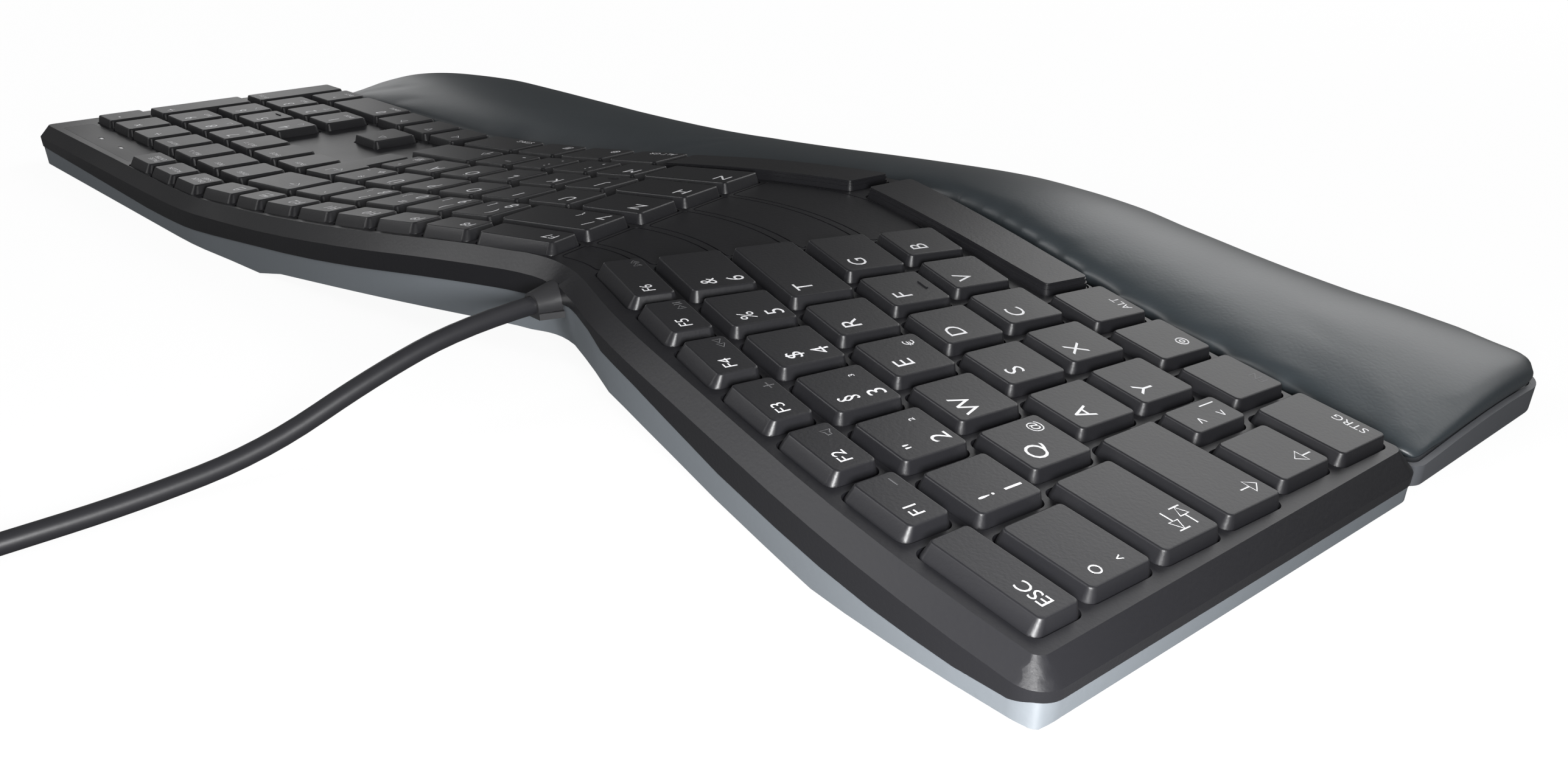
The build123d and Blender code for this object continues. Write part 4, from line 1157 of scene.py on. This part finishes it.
@dataclass
class WristRest:
    """Tray and padded cushion in front of the keys. Lengths are in millimetres."""

    crest_y: float = -65.1
    crown: float = 200.0
    crest: Pairs = (
        (-246.0, 12.9), (-226.0, 17.0), (-200.0, 19.2), (-170.0, 22.0), (-138.0, 26.0), (-103.0, 28.4),
        (-66.0, 26.9), (-28.0, 24.2), (0.0, 22.0), (30.0, 20.0), (64.0, 18.8), (165.0, 18.8), (205.0, 17.6),
        (226.0, 15.8), (246.0, 11.8))
    fall_from: float = -43.1
    fall_run: float = 50.0
    fall: Pairs = (
        (-236.0, 4.6), (-228.0, 4.6), (-215.0, 6.0), (-206.0, 7.4), (-189.0, 8.9), (-158.0, 9.2),
        (-136.0, 8.9), (-123.0, 7.7), (-101.0, 7.1), (-86.0, 5.9), (-72.0, 5.7), (-46.0, 6.1),
        (-16.0, 6.7), (21.0, 6.4), (69.0, 6.8), (100.0, 7.7), (134.0, 7.9), (161.0, 7.7), (186.0, 6.8),
        (205.0, 8.0))
    end_from: float = -195.0
    end_run: float = 35.0
    end_loss: Pairs = ((-80.0, 0.12), (-20.0, 0.28))
    furthest_fall: float = 1.2
    strips: tuple[tuple[int, int, int, int], ...] = ((0, -228, 232, 12), (1, -98, -20, 6))
    desk: float = 0.4
    voxel: float = 2.5
    tuck: float = 0.2
    bulge: float = 1.5
    bulge_below: float = 0.6
    bulge_over: float = 1.6
    lip_drop: float = 7.4
    seat: float = 600.0
    cap: float = 1.0
    pressure: float = 4.0
    frames: int = 20
    held_until: float = 1.2
    evening: int = 2
    relaxing: int = 4
    softness: float = 0.9

    def share(self, x: float, y: float) -> float:
        """How much of its CAD height over the desk the rest keeps.

        Args:
            x: place along the rest.
            y: place across it.

        Returns:
            The share, from 0 to 1.
        """
        top = between(self.crest, x) - (y - self.crest_y) ** 2 / (2 * self.crown) - self.desk
        end = min(max((self.end_from - x) / self.end_run, 0.0), 1.0)
        loss = between(self.end_loss, y) * end * end * (3 - 2 * end)
        ahead = min(max((self.fall_from - y) / self.fall_run, 0.0), self.furthest_fall)
        return 1 - loss - between(self.fall, x) * ahead * ahead / top

    def lip(self, x: float, y: float) -> float:
        """Height of the tray's lip at a place along and across the rest."""
        high = between(self.crest, x) - self.lip_drop - (y - self.crest_y) ** 2 / (2 * self.seat)
        return self.desk + (high - self.desk) * self.share(x, y)

    def settle(self, verts: list[bmesh.types.BMVert] | bpy.types.bpy_prop_collection) -> None:
        """Let the front and the left end fall to where the photo has them.

        Args:
            verts: corners of the tray or the cushion.
        """
        for vert in verts:
            x, y, z = vert.co / MM
            if z > self.desk:
                vert.co.z = (self.desk + (z - self.desk) * self.share(x, y)) * MM

    def lower_tray(self, form: Form) -> None:
        """Cut the tray's long faces into strips and let them fall.

        Args:
            form: the tray.
        """
        for axis, first, last, step in self.strips:
            for place in range(first, last, step):
                spot, across = Vector(), Vector()
                spot[axis], across[axis] = place * MM, 1.0
                bmesh.ops.bisect_plane(form, geom=form.verts[:] + form.edges[:] + form.faces[:],
                                       dist=SAME_SPOT, plane_co=spot, plane_no=across)
        self.settle(form.verts)

    def fill(self, cushion: bpy.types.Object) -> None:
        """Blow the cushion up as cloth held at its sides and underside, and keep the capped result.

        Args:
            cushion: piece whose mesh is changed.
        """
        scene = bpy.context.scene
        mesh = cushion.data
        held = cushion.vertex_groups.new(name="held")
        for vert in mesh.vertices:
            hold = min(max(self.held_until - 2 * vert.normal.z, 0.0), 1.0)
            held.add([vert.index], hold, "REPLACE")
        cloth = cushion.modifiers.new("filling", "CLOTH")
        cloth.settings.use_pressure = True
        cloth.settings.uniform_pressure_force = self.pressure
        cloth.settings.effector_weights.gravity = 0.0
        cloth.settings.vertex_group_mass = held.name
        cloth.point_cache.frame_start = 1
        cloth.point_cache.frame_end = self.frames
        for frame_number in range(1, self.frames + 1):
            scene.frame_set(frame_number)
        blown = cushion.evaluated_get(bpy.context.evaluated_depsgraph_get())
        moves = [after.co - before.co for after, before in zip(blown.data.vertices, mesh.vertices)]
        cushion.modifiers.remove(cloth)
        cushion.vertex_groups.remove(held)
        scene.frame_set(1)
        for vert, move in zip(mesh.vertices, moves):
            vert.co += move * min(1.0, self.cap * MM / max(move.length, 1e-9))
        furthest = max(move.length for move in moves) / MM
        log.info("cushion moved %.2f mm at most before its cap", furthest)

    def cushion(self) -> None:
        """Cushion remeshed, bulged over the tray's lip, blown up and smoothed."""
        mesh = new_mesh("wrist_cushion", merged_form("palm_rest_cushion"))
        piece = link_piece("wrist_cushion", mesh)
        remesh = piece.modifiers.new("even", "REMESH")
        remesh.mode = "VOXEL"
        remesh.voxel_size = self.voxel * MM
        relax = piece.modifiers.new("relax", "SMOOTH")
        relax.iterations = self.evening
        self.bake(piece)
        self.settle(piece.data.vertices)
        for vert in piece.data.vertices:
            over = vert.co.z / MM - self.lip(vert.co.x / MM, vert.co.y / MM)
            rise = min(max((over + self.bulge_below) / self.bulge_over, 0.0), 1.0)
            vert.co.xy += vert.normal.xy * (self.bulge * rise - self.tuck * (1 - rise)) * MM
        self.fill(piece)
        relax = piece.modifiers.new("relax", "SMOOTH")
        relax.iterations = self.relaxing
        round_off = piece.modifiers.new("round", "SUBSURF")
        round_off.levels = round_off.render_levels = 1
        self.bake(piece)
        piece.data.shade_smooth()
        REST_SKIN.dress(piece)
        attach(piece, "case")
        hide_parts("palm_rest_cushion")

    def bake(self, piece: bpy.types.Object) -> None:
        """Put what the piece's modifiers make into its mesh.

        Args:
            piece: the piece, which loses its modifiers.
        """
        result = final_mesh(piece)
        piece.modifiers.clear()
        piece.data = result

    def build(self) -> None:
        """Dress the tray and make the cushion."""
        # The tray gets the darker grey that paints its shade.
        dressed_copy("palm_rest_tray", "case", SHADED_TRAY_GREY, 30.0, self.lower_tray)
        self.cushion()


def main() -> None:
    """Build everything in order."""
    logging.basicConfig(level=logging.INFO)
    Studio().build()
    Cord().build()
    Case().build()
    KeyField().build()
    WristRest().build()


if __name__ == "__main__":
    main()
